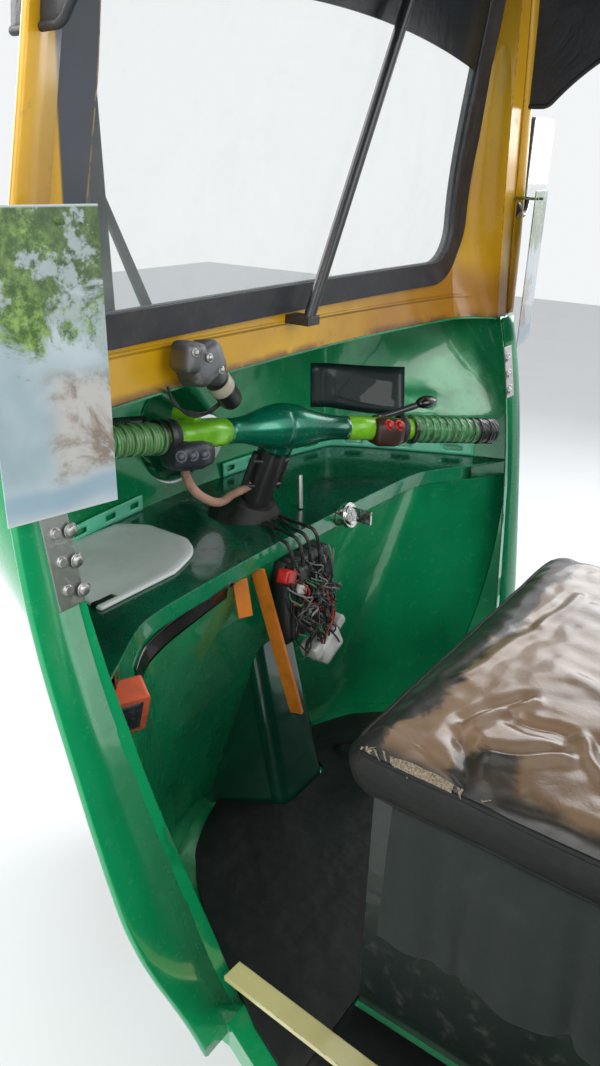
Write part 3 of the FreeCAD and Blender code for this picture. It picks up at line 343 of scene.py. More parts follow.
def enamel(name, colour, darker, flake=0.15, chips=(0.05, 0.06, 0.055), dents=0.0016, shine=0.2):
    """Sprayed enamel on sheet metal: orange peel, shallow dents, dust, chipped edges."""
    f = Finish(name)
    soft, edge = f.softened(0.0022)
    clouds = f.grain(3.2, 3, 0.5)
    streaks = f.grain(14, 3, 0.6, where=f.stretched(1, 1, 0.25))
    dust = f.patches(60, 0.52, 0.78, 5, 0.75)
    paint = f.mix(colour, darker, f.ramp(clouds + streaks * 0.25, 0.5, 0.86) * 0.6)
    paint = f.mix(paint, (0.3, 0.33, 0.29), dust * 0.07)
    chip = edge * f.patches(90, 0.53, 0.6, 4, 0.7)
    scratch = f.ramp(f.cells(9, "DISTANCE_TO_EDGE", where=f.stretched(1, 0.4, 2.5)), 0.006, 0)
    scratch = scratch * f.patches(8, 0.6, 0.68)
    paint = f.mix(paint, chips, chip.most(scratch * 0.5))
    normal = f.uneven(soft, 7, dents * 6, 2, 0.45, warp=0.3)
    normal = f.uneven(normal, 420, 0.00004, 2, 0.5)
    normal = f.bump(1 - chip, 0.0003, normal=normal)
    return f.shader(
        paint, shine + dust * 0.2 + chip * 0.35 + clouds * 0.06, normal, Metallic=flake * (1 - chip),
        Coat_Weight=(1 - chip) * 0.9, Coat_Roughness=0.05,
    )


def tray_enamel():
    """Dark green shelf, a rolled lip with a painted highlight where it faces back and up and along hard
    edges, and a mint upstand at its far side.
    """
    f = Finish("tray_enamel")
    soft, edge = f.softened(0.003)
    z = f.axis("z")
    clouds = f.grain(5, 4, 0.6)
    grime = f.patches(30, 0.5, 0.76, 5, 0.75)
    shelf = f.mix(shade("tray"), (0.001, 0.026, 0.017), f.ramp(clouds, 0.4, 0.74))
    shelf = f.mix(shelf, (0.02, 0.026, 0.022), grime * 0.5)
    # Painted highlight: the lip is made brighter where it faces back towards the driver and up, and along
    # hard edges.
    rolled = f.ramp(f.facing(-1, 0, 0.35), 0.3, 0.62).most(edge * 0.8)
    lip = f.mix((0.004, 0.3, 0.115), (0.003, 0.17, 0.075), clouds)
    paint = f.mix(shelf, lip, rolled)
    mint = f.mix((0.035, 0.46, 0.27), (0.01, 0.22, 0.12), f.ramp(clouds, 0.4, 0.66))
    paint = f.mix(paint, mint, f.ramp(z, 0.5025, 0.5045))
    chip = edge * f.patches(85, 0.54, 0.6, 4, 0.7)
    paint = f.mix(paint, (0.1, 0.3, 0.2), chip)
    normal = f.uneven(soft, 7, 0.006, 2, 0.45, warp=0.3)
    normal = f.uneven(normal, 420, 0.00005, 2)
    return f.shader(
        paint, 0.26 + grime * 0.3 + chip * 0.2, normal, Coat_Weight=0.8 - grime * 0.4,
        Coat_Roughness=0.08,
    )


def yellow_enamel():
    """Golden panel, darker brown towards the right and below the glass, with slate paint inside the left
    pillar.
    """
    f = Finish("yellow_enamel")
    soft, edge = f.softened(0.0025)
    y = f.axis("y")
    z = f.axis("z")
    clouds = f.grain(6, 4, 0.62)
    # Darker brown yellow towards the right side and below the glass.
    brown = f.ramp(y + clouds * 0.3, 0.16, -0.14) * f.ramp(z + clouds * 0.05, 0.875, 0.825)
    paint = f.mix(shade("yellow"), shade("rust"), brown * 0.85)
    paint = f.mix(paint, (0.6, 0.29, 0.012), f.ramp(clouds, 0.45, 0.75) * 0.6)
    grime = f.patches(34, 0.58, 0.76, 5, 0.75)
    paint = f.mix(paint, (0.17, 0.1, 0.04), grime * 0.3)
    low = f.ramp(z + clouds * 0.012, 0.768, 0.757) * f.patches(18, 0.4, 0.55, 4)
    paint = f.mix(paint, (0.16, 0.055, 0.02), low * 0.8)
    inside = f.facing(-1, -0.35, 0)
    pillar = f.ramp(y, 0.38, 0.386) * f.ramp(y, 0.44, 0.4365)
    pillar = pillar * f.ramp(z, 0.9, 0.93) * f.ramp(inside, 0.2, 0.4)
    paint = f.mix(paint, shade("slate"), pillar * f.ramp(edge, 0.6, 0.2))
    chip = edge * f.patches(70, 0.5, 0.58, 4, 0.7)
    paint = f.mix(paint, (0.1, 0.055, 0.03), chip)
    fold = f.ramp(abs(z - 0.792 - y * 0.02), 0.004, 0) * f.ramp(abs(y), 0.44, 0.4)
    normal = f.uneven(soft, 8, 0.01, 2, 0.5, warp=0.4)
    normal = f.bump(fold, 0.003, normal=normal)
    normal = f.uneven(normal, 400, 0.00006, 2)
    return f.shader(
        paint, 0.3 + grime * 0.25 + chip * 0.3 + brown * 0.08, normal, Coat_Weight=(1 - chip) * 0.5,
        Coat_Roughness=0.12,
    )


def moulded(name, colour, rough=0.45, grain=900, wear=(0.35, 0.36, 0.35), coat=0):
    """Moulded plastic: fine grain, rounded edges, rubbed pale where hands reach."""
    f = Finish(name)
    soft, edge = f.softened(0.0015)
    blotch = f.grain(26, 4, 0.6)
    paint = f.mix(colour, tuple(c * 0.62 for c in colour), f.ramp(blotch, 0.35, 0.75))
    paint = f.mix(paint, wear, edge * f.patches(110, 0.45, 0.62, 3) * 0.5)
    dust = f.patches(140, 0.55, 0.8, 4, 0.8)
    paint = f.mix(paint, (0.32, 0.3, 0.26), dust * 0.12)
    normal = f.uneven(soft, grain, 0.00008, 2, 0.5)
    normal = f.uneven(normal, 40, 0.0006, 2)
    return f.shader(paint, rough + dust * 0.2 + edge * 0.08, normal, Coat_Weight=coat)


def bare_metal(name, colour, rough, stain=(0.09, 0.06, 0.045), rust=0.5):
    """Plated or bare metal with brushed lines, spots and rusty corners."""
    f = Finish(name)
    soft = f.rounded(0.0016)
    brushed = f.grain(220, 3, 0.6, where=f.stretched(0.3, 1, 1))
    spots = f.patches(48, 0.56, 0.7, 5, 0.75) * rust
    paint = f.mix(colour, stain, spots)
    normal = f.bump(brushed, 0.00007, normal=soft)
    return f.shader(paint, rough + brushed * 0.14 + spots * 0.4, normal, Metallic=1 - spots * 0.8)


def black_enamel(name="black_enamel", colour=(0.02, 0.021, 0.024), shine=0.32):
    """Black painted steel, worn grey on its edges."""
    f = Finish(name)
    soft, edge = f.softened(0.0018)
    worn = edge * f.patches(70, 0.48, 0.58, 4, 0.7)
    dust = f.patches(45, 0.5, 0.8, 5, 0.7)
    paint = f.mix(colour, (0.11, 0.105, 0.095), dust * 0.35)
    paint = f.mix(paint, (0.19, 0.16, 0.13), worn)
    normal = f.uneven(soft, 260, 0.0001, 3)
    return f.shader(
        paint, shine + dust * 0.25 + worn * 0.1, normal, Metallic=worn * 0.6,
        Coat_Weight=(1 - worn) * 0.3,
    )


def rubber(name, colour, rough=0.62, ribs=None):
    """Rubber or soft moulding, dusty, with optional fine ribs along an axis."""
    f = Finish(name)
    soft = f.rounded(0.0015)
    dust = f.patches(38, 0.42, 0.8, 5, 0.72)
    paint = f.mix(colour, (0.16, 0.145, 0.12), dust * 0.3)
    normal = f.uneven(soft, 700, 0.0001, 2)
    if ribs:
        normal = f.bump(f.waves(*ribs), 0.0006, normal=normal)
    return f.shader(paint, rough + dust * 0.2, normal)


def floor_rubber():
    """Black floor mat, scuffed and dusty, with small raised dots."""
    f = Finish("floor_rubber")
    soft = f.rounded(0.002)
    dots = f.ramp(f.cells(95, loose=0), 0.36, 0.26)
    scuff = f.patches(9, 0.46, 0.75, 5, 0.7, warp=0.5)
    dirt = f.patches(120, 0.55, 0.75, 4, 0.8)
    paint = f.mix((0.007, 0.008, 0.009), (0.026, 0.025, 0.022), scuff)
    paint = f.mix(paint, (0.11, 0.095, 0.075), dirt * scuff * 0.4)
    normal = f.bump(dots, 0.0008, normal=soft, strength=0.6)
    normal = f.uneven(normal, 14, 0.006, 3)
    return f.shader(paint, 0.55 + scuff * 0.25 - dots * 0.05, normal)


def seat_vinyl():
    """Black vinyl under a clear cover: hazy beige where the cover lies flat, bare at the rim, with a painted
    brown reflection on the bare top and painted shade in one deep fold.
    """
    f = Finish("seat_vinyl_under_film")
    x = f.axis("x")
    y = f.axis("y")
    z = f.axis("z")
    ragged = (f.grain(13, 5, 0.62, warp=0.8) - 0.5) * 0.07
    broad = f.grain(4.5, 3, 0.5, warp=0.6)
    top = f.ramp(z, 0.432, 0.446)
    behind = f.ramp(x + ragged, 0.352, 0.34) * f.ramp(y + ragged, -0.285, -0.27)
    # Painted shade: the beige haze is left out round this point, so the deep fold's hollow shows black.
    fold_hollow_shade = f.near((0.262, 0.268, 0.456), 0.03, 0.046, ragged)
    rim = f.ramp(y + ragged * 0.5, 0.262, 0.276) * f.ramp(x, 0.262, 0.244)
    corner = f.near((0.332, 0.272, 0.456), 0.036, 0.046, ragged)
    haze = (behind * (1 - fold_hollow_shade) * (1 - rim)).most(corner) * top
    grime = f.patches(44, 0.52, 0.8, 5, 0.75)
    film = f.mix(shade("film"), (0.115, 0.07, 0.042), f.ramp(broad, 0.42, 0.7))
    # Painted reflection: a dark brown tint in cloudy patches on the bare black top.
    bare = f.mix(shade("vinyl"), (0.06, 0.042, 0.026), f.ramp(broad, 0.42, 0.62) * top)
    paint = f.mix(bare, film, haze)
    paint = f.mix(paint, (0.09, 0.07, 0.05), grime * 0.22)
    normal = f.bump(f.cells(420, "SMOOTH_F1"), 0.0001)
    normal = f.uneven(normal, 24, 0.001, 3, 0.5, warp=1.2)
    return f.shader(
        paint, 0.44 + grime * 0.2 - haze * 0.1, normal, Coat_Weight=top * 0.42 + 0.05,
        Coat_Roughness=0.12,
    )


def seat_side_vinyl():
    """Matt black vinyl of the seat's sides and the back pad."""
    f = Finish("seat_side_vinyl")
    leather = f.cells(380, "SMOOTH_F1")
    grime = f.patches(30, 0.45, 0.8, 5, 0.72)
    paint = f.mix(shade("vinyl"), (0.055, 0.049, 0.04), grime * 0.4)
    normal = f.bump(leather, 0.00022)
    normal = f.uneven(normal, 22, 0.0016, 3, 0.5, warp=1)
    return f.shader(paint, 0.58 + grime * 0.2, normal, Specular_IOR_Level=0.25)


def torn_vinyl():
    """Frayed threads and foam where the seat's seam is torn."""
    f = Finish("torn_vinyl")
    fibres = f.grain(500, 4, 0.8)
    paint = f.mix((0.1, 0.075, 0.05), (0.36, 0.29, 0.21), f.ramp(fibres, 0.35, 0.65))
    return f.shader(paint, 0.85, f.bump(fibres, 0.0005))


def woven(name, colour, pale, thread=1500, fade=0.35, rough=0.85):
    """Woven cloth: crossing threads, faded folds and dust."""
    f = Finish(name)
    over = f.waves(thread / 6.28, "X", where=f.stretched(1, 1, 0))
    under = f.waves(thread / 6.28, "Z")
    weave = over.most(under)
    fading = f.patches(12, 0.42, 0.75, 4, 0.65)
    paint = f.mix(colour, pale, fading * fade + weave * 0.1)
    normal = f.bump(weave, 0.00022)
    normal = f.uneven(normal, 45, 0.001, 3)
    return f.shader(paint, rough, normal, Sheen_Weight=0.05)


def coated_cloth():
    """Coated canopy cloth: fine weave under a dull plastic skin, with dusty streaks."""
    f = Finish("coated_canopy_cloth")
    weave = f.waves(260, "X").most(f.waves(260, "Y"))
    streak = f.ramp(f.grain(9, 5, 0.7, where=f.stretched(1, 1, 0.35)), 0.45, 0.8)
    paint = f.mix(shade("canopy"), (0.1, 0.1, 0.095), streak * 0.35)
    normal = f.bump(weave, 0.00012)
    normal = f.uneven(normal, 11, 0.006, 4, 0.55, warp=0.8)
    return f.shader(paint, 0.46 + streak * 0.2, normal)


def dusty_glass():
    """Clear windscreen with haze, wiped arcs and dust at its rim."""
    f = Finish("dusty_glass")
    haze = f.patches(4, 0.4, 0.85, 5, 0.65, warp=0.8)
    specks = f.patches(160, 0.6, 0.75, 3, 0.7)
    low = f.ramp(f.axis("z"), 0.95, 0.83)
    alpha = 0.05 + haze * 0.07 + specks * 0.05 + low * 0.1 * f.grain(24, 4)
    return f.shader(
        (0.82, 0.9, 0.9), 0.03 + haze * 0.1, f.bump(f.grain(3, 1), 0.002), Alpha=alpha,
        Specular_IOR_Level=0.5,
    )


def tinted_strip():
    """Smoked film over the top of the windscreen."""
    f = Finish("tinted_strip")
    bubbles = f.grain(30, 4, 0.6)
    return f.shader(
        (0.012, 0.016, 0.02), 0.16 + bubbles * 0.15, f.bump(bubbles, 0.0008),
        Alpha=0.86 + bubbles * 0.1,
    )


def printed_film():
    """Clear film with a soft print: hanging leaves above, pale mist and bare rock below."""
    f = Finish("printed_film")
    z = f.axis("z")
    y = abs(f.axis("y"))
    ripple = f.grain(10, 2)
    crowns = f.grain(17, 6, 0.68, warp=0.7)
    leaf = f.grain(95, 5, 0.75)
    tree = f.mix((0.05, 0.12, 0.018), (0.27, 0.42, 0.11), f.ramp(leaf, 0.38, 0.64))
    tree = f.mix(tree, (0.035, 0.075, 0.022), f.ramp(crowns, 0.6, 0.42) * 0.7)
    mist = f.mix((0.5, 0.57, 0.62), (0.33, 0.42, 0.47), f.patches(7, 0.42, 0.66, 4))
    rock = f.grain(21, 6, 0.66, warp=0.5)
    stone = f.mix((0.25, 0.18, 0.14), (0.52, 0.5, 0.49), f.ramp(rock, 0.42, 0.6))
    middle = f.ramp(abs(z - 0.79 + ripple * 0.02), 0.052, 0.03)
    middle = middle * f.ramp(abs(y - 0.474 + rock * 0.03), 0.044, 0.022)
    paint = f.mix(mist, stone, middle * f.ramp(rock, 0.36, 0.46))
    lake = f.ramp(z + ripple * 0.02, 0.748, 0.738) * f.ramp(z + ripple * 0.02, 0.716, 0.732)
    paint = f.mix(paint, (0.2, 0.33, 0.46), lake * 0.55)
    leaves = f.ramp(z + (crowns - 0.5) * 0.2, 0.846, 0.872)
    gaps = f.patches(33, 0.53, 0.62, 5, 0.7)
    paint = f.mix(paint, tree, leaves * (1 - gaps * 0.75))
    rim = f.ramp(z, 0.7105, 0.7085).most(f.ramp(z, 0.9455, 0.9475))
    paint = f.mix(paint, (0.55, 0.6, 0.6), rim)
    return f.shader(
        paint, 0.18 + ripple * 0.12, f.bump(ripple, 0.004), Coat_Weight=0.6,
        Alpha=0.96 - gaps * leaves * 0.12,
    )


def bar_cover_paint():
    """Metallic green lacquer of the handlebar cover, worn at the rims."""
    f = Finish("bar_cover_paint")
    soft = f.rounded(0.006)
    flakes = f.cells(1500)
    cloud = f.grain(9, 3)
    paint = f.mix(shade("cover"), (0.002, 0.1, 0.062), f.ramp(cloud, 0.35, 0.7))
    dust = f.patches(90, 0.55, 0.8, 5, 0.75)
    paint = f.mix(paint, (0.35, 0.4, 0.36), dust * 0.12)
    return f.shader(
        paint, 0.24 + dust * 0.2, f.bump(flakes, 0.00003, normal=soft), Metallic=0.35 + flakes * 0.25,
        Coat_Weight=0.9 - dust * 0.3, Coat_Roughness=0.05,
    )


def grip_rubber(dark_from):
    """Ribbed grip, green towards the middle of the bar and black at its end."""
    f = Finish("grip_rubber_" + ("left" if dark_from > 0 else "right"))
    soft = f.rounded(0.001)
    y = f.axis("y")
    dirt = f.patches(60, 0.42, 0.72, 4, 0.7)
    ridge = f.waves(62, "Y")
    base = shade("grip")
    pale = (0.34, 0.52, 0.2)
    colour = f.mix(base, pale, ridge * (0.75 if dark_from > 0 else 0.18))
    colour = f.mix(colour, (0.012, 0.014, 0.012), dirt * (0.25 if dark_from > 0 else 0.8))
    if dark_from > 0:
        end = f.ramp(y, dark_from, dark_from + 0.006)
        collar = f.ramp(y, 0.213, 0.207)
    else:
        end = f.ramp(y, dark_from, dark_from - 0.006)
        collar = f.ramp(y, -0.176, -0.17)
    colour = f.mix(colour, (0.01, 0.01, 0.011), end.most(collar))
    normal = f.bump(ridge, 0.001, normal=soft)
    return f.shader(colour, 0.34 + dirt * 0.3, normal, Coat_Weight=0.35 - dirt * 0.3)


def lever_finish():
    """Bright lever with a dark green ribbed sleeve on its outer part."""
    f = Finish("lever_and_sleeve")
    y = f.axis("y")
    sleeve = f.ramp(y, 0.212, 0.215)
    ribs = f.waves(70, "Y")
    paint = f.mix((0.1, 0.11, 0.11), (0.02, 0.09, 0.045), sleeve)
    paint = f.mix(paint, (0.005, 0.02, 0.012), ribs * sleeve * 0.8)
    return f.shader(
        paint, 0.38 + sleeve * 0.2, f.bump(ribs * sleeve, 0.0009, normal=f.rounded(0.001)),
        Metallic=(1 - sleeve) * 0.9,
    )


def lamp_finish():
    """Headlamp: bright rim round a fluted glass, on a painted shell."""
    f = Finish("headlamp_glass")
    centre = at(338, 0, 886)
    away = f.measured("DISTANCE", f.stretched(0, 1, 1), (0, centre.y, centre.z))
    lens = f.ramp(away, 0.0705, 0.069) * f.ramp(f.axis("x"), 0.925, 0.928)
    flutes = f.waves(40, "Y")
    rings = f.waves(90, "Z")
    glow = f.mix((0.62, 0.66, 0.66), (0.3, 0.33, 0.34), f.ramp(f.grain(30) + flutes * 0.4, 0.4, 1))
    paint = f.mix((0.72, 0.73, 0.74), glow, lens)
    normal = f.bump((flutes * 0.7 + rings * 0.3) * lens, 0.0012, normal=f.rounded(0.002))
    return f.shader(
        paint, 0.12 + lens * 0.05, normal, Metallic=1 - lens * 0.65, Coat_Weight=lens,
        Coat_Roughness=0.02,
    )


def amber_finish():
    """Ribbed amber lens on a black foot."""
    f = Finish("amber_lens")
    ribs = f.waves(75, "Y")
    depth = f.grain(40)
    paint = f.mix((0.85, 0.3, 0.02), (0.55, 0.14, 0.01), ribs * 0.5 + depth * 0.3)
    return f.shader(
        paint, 0.16 + depth * 0.08, f.bump(ribs, 0.0008, normal=f.rounded(0.002)),
        Coat_Weight=0.8 + ribs * 0.1,
    )


def mirror_finish():
    """Black mirror head whose rear face is silvered."""
    f = Finish("mirror_face")
    face = f.ramp(f.facing(-1, 0, 0), 0.97, 0.99) * f.ramp(abs(f.axis("y")), 0.52, 0.523)
    spots = f.patches(70, 0.6, 0.75, 4, 0.7)
    paint = f.mix((0.02, 0.021, 0.023), (0.86, 0.88, 0.88), face)
    return f.shader(paint, 0.4 - face * 0.36 + spots * 0.12, f.rounded(0.003), Metallic=face)


def rim_finish():
    """Silver painted wheel, dusty, rusting at its edges and bolts."""
    f = Finish("wheel_paint")
    soft, edge = f.softened(0.002)
    dust = f.patches(26, 0.42, 0.75, 5, 0.7)
    rust = f.ramp(f.grain(55, 5, 0.75) + edge * 0.2, 0.62, 0.75)
    paint = f.mix((0.42, 0.43, 0.43), (0.22, 0.18, 0.14), dust * 0.7)
    paint = f.mix(paint, (0.13, 0.05, 0.02), rust)
    return f.shader(
        paint, 0.4 + dust * 0.25 + rust * 0.2, f.uneven(soft, 200, 0.0001), Metallic=0.5 - rust * 0.5
    )


def tyre_finish():
    """Tyre rubber: black tread edges, dusty grooves and sidewall."""
    f = Finish("tyre_rubber")
    dust = f.patches(18, 0.35, 0.75, 5, 0.7)
    fine = f.grain(600, 2)
    paint = f.mix((0.014, 0.014, 0.015), (0.12, 0.1, 0.078), dust * 0.6)
    return f.shader(paint, 0.66 + dust * 0.2, f.bump(fine, 0.00012))


def motor_finish():
    """Grey die-cast gear case and a black motor can with a pale band."""
    f = Finish("wiper_motor")
    soft = f.rounded(0.003)
    y = f.axis("y")
    z = f.axis("z")
    can = f.ramp(y, 0.216, 0.213)
    band = f.ramp(abs(y + z - 0.934), 0.0125, 0.0105)
    cast = f.grain(260, 4, 0.7)
    dirt = f.patches(60, 0.45, 0.7, 5, 0.7)
    paint = f.mix((0.24, 0.25, 0.26), (0.07, 0.065, 0.06), dirt)
    paint = f.mix(paint, (0.012, 0.012, 0.013), can)
    paint = f.mix(paint, (0.46, 0.42, 0.32), band * can)
    return f.shader(
        paint, 0.45 - can * 0.1 + dirt * 0.1, f.bump(cast, 0.0003, normal=soft),
        Metallic=(1 - can) * 0.7,
    )


def fuse_finish():
    """Black fuse holders with a pale relay under them."""
    f = Finish("fuses_and_relay")
    soft = f.rounded(0.002)
    z = f.axis("z")
    relay = f.ramp(z, 0.3, 0.296)
    grime = f.patches(80, 0.5, 0.75, 4, 0.7)
    slots = f.waves(24, "Y")
    dark = f.mix((0.016, 0.016, 0.018), (0.05, 0.05, 0.05), slots)
    pale = f.mix((0.68, 0.68, 0.72), (0.36, 0.34, 0.33), grime * 0.6)
    return f.shader(
        f.mix(dark, pale, relay), 0.42 + grime * 0.2, f.bump(slots * (1 - relay), 0.002, normal=soft)
    )


def lock_finish():
    """Polished lock with dirt in its recesses."""
    f = Finish("lock_chrome")
    soft = f.rounded(0.0022)
    tarnish = f.patches(120, 0.5, 0.68, 4, 0.7)
    paint = f.mix((0.8, 0.8, 0.8), (0.2, 0.14, 0.09), tarnish * 0.7)
    return f.shader(paint, 0.12 + tarnish * 0.4, f.uneven(soft, 90, 0.0006), Metallic=1 - tarnish * 0.3)


def sheath_finish():
    """Pink-beige woven sheath over the wires."""
    f = Finish("wire_sheath")
    weave = f.cells(620, "F1")
    stain = f.patches(40, 0.42, 0.7, 4)
    paint = f.mix((0.58, 0.33, 0.24), (0.24, 0.13, 0.1), stain * 0.6 + weave * 0.4)
    return f.shader(paint, 0.72 + stain * 0.1, f.bump(weave, 0.0008))


def plate_finish():
    """Worn grey-white plastic plate with a dark slot at one end."""
    f = Finish("tray_plate")
    x = f.axis("x")
    y = f.axis("y")
    slot = f.ramp(abs(x - 0.722), 0.006, 0.004) * f.ramp(abs(y - 0.325), 0.02, 0.016)
    grime = f.patches(14, 0.42, 0.75, 5, 0.7)
    lines = f.ramp(f.cells(16, "DISTANCE_TO_EDGE", where=f.stretched(0.4, 2, 1)), 0.01, 0)
    paint = f.mix((0.93, 0.94, 0.95), (0.7, 0.71, 0.7), grime * 0.5 + lines * 0.3)
    paint = f.mix(paint, (0.012, 0.012, 0.014), slot)
    return f.shader(paint, 0.46 + grime * 0.2, f.bump(1 - slot, 0.0015, normal=f.rounded(0.002)))


def meter_finish():
    """Red-orange meter frame on a black bracket."""
    f = Finish("meter_frame")
    soft = f.rounded(0.003)
    y = f.axis("y")
    bracket = f.ramp(y, 0.43, 0.434).most(f.ramp(f.axis("x"), 0.622, 0.625))
    grime = f.patches(70, 0.45, 0.7, 4)
    paint = f.mix((0.78, 0.13, 0.055), (0.45, 0.1, 0.06), grime * 0.6)
    paint = f.mix(paint, (0.02, 0.02, 0.022), bracket)
    return f.shader(paint, 0.36 + grime * 0.2, soft)


def dark_screen():
    """Dark display glass."""
    f = Finish("dark_screen")
    cloud = f.grain(80, 3)
    paint = f.mix((0.03, 0.028, 0.045), (0.075, 0.07, 0.09), f.ramp(cloud, 0.4, 0.7))
    return f.shader(paint, 0.1 + cloud * 0.08, Coat_Weight=0.7 + cloud * 0.1)


def wire_finish(name, colour):
    """Thin plastic wire insulation, dusty."""
    f = Finish(name)
    dust = f.patches(120, 0.45, 0.75, 3)
    paint = f.mix(colour, (0.14, 0.13, 0.115), dust * 0.4)
    return f.shader(paint, 0.38 + dust * 0.25, f.bump(f.grain(500), 0.0001))


WIRE_COLOURS = {
    "wire_black": (0.012, 0.012, 0.013), "wire_red": (0.35, 0.018, 0.014),
    "wire_grey": (0.16, 0.17, 0.18), "wire_green": (0.03, 0.2, 0.07),
}


def make_finishes():
    """Every finish of the cab, by name."""
    return {
        "green": enamel("green_enamel", shade("green"), (0.001, 0.085, 0.042)),
        "tray": tray_enamel(),
        "housing": enamel("housing_enamel", (0.002, 0.075, 0.04), (0.001, 0.018, 0.012), shine=0.26),
        "mint": enamel("mint_enamel", (0.17, 0.8, 0.52), (0.06, 0.5, 0.3), flake=0),
        "yellow": yellow_enamel(),
        "black": black_enamel(),
        "column": black_enamel("column_black", (0.024, 0.024, 0.026), 0.36),
        "dark_box": black_enamel("seat_box_black", (0.01, 0.016, 0.014), 0.42),
        "chassis": black_enamel("chassis_black", (0.028, 0.027, 0.026), 0.48),
        "seal": rubber("seal_rubber", (0.022, 0.022, 0.03), 0.5),
        "mat": floor_rubber(),
        "seat": seat_vinyl(),
        "seat_side": seat_side_vinyl(),
        "torn": torn_vinyl(),
        "skirt": woven("skirt_cloth", shade("skirt"), (0.035, 0.045, 0.042)),
        "canopy": coated_cloth(),
        "cream": enamel(
            "lever_enamel", shade("cream"), (0.45, 0.4, 0.2), flake=0, chips=(0.16, 0.12, 0.07)
        ),
        "glass": dusty_glass(),
        "strip": tinted_strip(),
        "film": printed_film(),
        "cover": bar_cover_paint(),
        "lime": moulded("lime_casting", shade("lime"), 0.3, 300, (0.2, 0.22, 0.08), 0.3),
        "grip_left": grip_rubber(0.338),
        "grip_right": grip_rubber(-0.262),
        "lever": lever_finish(),
        "pod": moulded("pod_plastic", (0.03, 0.036, 0.048), 0.4),
        "slate_plastic": moulded("slate_plastic", (0.06, 0.075, 0.105), 0.35),
        "pod_brown": moulded("pod_brown_plastic", (0.05, 0.02, 0.014), 0.42),
        "gloss_black": moulded("gloss_black_plastic", (0.012, 0.011, 0.013), 0.18, coat=0.5),
        "cast": bare_metal("cast_alloy", (0.2, 0.205, 0.215), 0.46, rust=0.8),
        # Painted shade: near-black green for the sheet that stands for the nose's recess.
        "recess_shade": black_enamel("cover_plate_paint", (0.006, 0.02, 0.022), 0.55),
        "lock": lock_finish(),
        "zinc": bare_metal("zinc_steel", (0.52, 0.52, 0.51), 0.3),
        "chrome": bare_metal("chrome", (0.8, 0.8, 0.8), 0.1, rust=0.2),
        "tyre": tyre_finish(),
        "rim": rim_finish(),
        "lamp": lamp_finish(),
        "amber": amber_finish(),
        "mirror": mirror_finish(),
        "plate": plate_finish(),
        "motor": motor_finish(),
        "fuses": fuse_finish(),
        "orange": moulded("orange_strap", (0.72, 0.21, 0.018), 0.42, wear=(0.35, 0.12, 0.03)),
        "meter": meter_finish(),
        "sheath": sheath_finish(),
        "screen": dark_screen(),
        "red": moulded("red_button", (0.55, 0.012, 0.01), 0.3, wear=(0.3, 0.05, 0.04)),
        "white": moulded("white_plastic", (0.62, 0.63, 0.6), 0.38),
        **{name: wire_finish(name, colour) for name, colour in WIRE_COLOURS.items()},
        "strap": rubber("strap_rubber", (0.012, 0.012, 0.013), 0.55),
    }


FINISHES = {}
SIDES = ((1, "left"), (-1, "right"))

NODE_FINISH = {
    "nose_panel": "green", "knee_panel": "green", "wheel_housing": "housing", "dash_tray": "tray",
    "floor_panel": "green", "seat_box": "dark_box", "partition": "green", "windscreen_surround": "yellow",
    "windscreen_seal": "seal", "windscreen_glass": "glass", "sun_band": "strip", "windscreen_stay": "black",
    "wiper_arm": "black", "wiper_motor": "motor", "tray_plate": "plate", "column_boot": "strap",
    "ignition_lock": "lock", "fuse_box": "fuses", "cable_strips": "orange", "meter_box": "meter",
    "floor_mat": "mat", "chassis_frame": "chassis", "roof_frame": "black", "headlamp": "lamp",
    "indicators": "amber", "side_mirrors": "mirror", "side_films": "film", "door_brackets": "zinc",
    "start_lever": "cream", "brake_pedal": "black", "steering_column": "column", "handlebar_cover": "cover",
    "clutch_lever": "lever", "loom_sheath": "sheath", "axle_link": "chassis", "damper": "chassis",
    "front_mudguard": "green", "bar_sleeve_left": "lime", "bar_sleeve_right": "lime",
    "grip_left": "grip_left", "grip_right": "grip_right", "switch_pod_left": "pod",
    "switch_pod_right": "pod", "wheel_rim": "rim",
}


# Mesh building


def linked(name, data):
    """A new object in the scene."""
    made = bpy.data.objects.new(name, data)
    bpy.context.scene.collection.objects.link(made)
    return made


def points_of(piece):
    """The points of a mesh piece as rows of numbers."""
    return np.array([v.co for v in piece.data.vertices], float)


def move_points(piece, points):
    """Gives a mesh piece new places for its points."""
    piece.data.vertices.foreach_set("co", points.astype(np.float32).ravel())
    piece.data.update()


def placed(name, mesh, material, smooth=True):
    """An object in the scene for a mesh, with its finish."""
    if material:
        mesh.materials.append(FINISHES[material])
    mesh.polygons.foreach_set("use_smooth", [smooth] * len(mesh.polygons))
    return linked(name, mesh)


def turns(count):
    """Angles that share a whole turn evenly."""
    return [2 * pi * i / count for i in range(count)]


def square_to(ahead):
    """Two directions across a line: a level one and one that rises."""
    level = ahead.cross(UP).normalized()
    return level, level.cross(ahead)


def circle(centre, u, v, radius, count):
    """A ring of points round a centre, in the plane of two directions."""
    return [centre + (u * cos(a) + v * sin(a)) * radius for a in turns(count)]


def column_values(rows, height):
    """What a table says at a height that lies between its rows, column by column."""
    levels, *columns = zip(*rows)
    return [float(np.interp(height, levels, column)) for column in columns]


def quads(row_count, count, close_across=False, close_along=False):
    """Faces between rows of points, as numbers of the points."""
    faces = []
    for i in range(row_count if close_along else row_count - 1):
        first, second = i * count, (i + 1) % row_count * count
        for j in range(count if close_across else count - 1):
            after = (j + 1) % count
            faces.append((first + j, first + after, second + after, second + j))
    return faces


def thicken(piece, thickness, centred=True):
    """Gives a sheet its thickness."""
    solid = piece.modifiers.new("thick", "SOLIDIFY")
    solid.thickness = thickness
    if centred:
        solid.offset = 0
    return piece


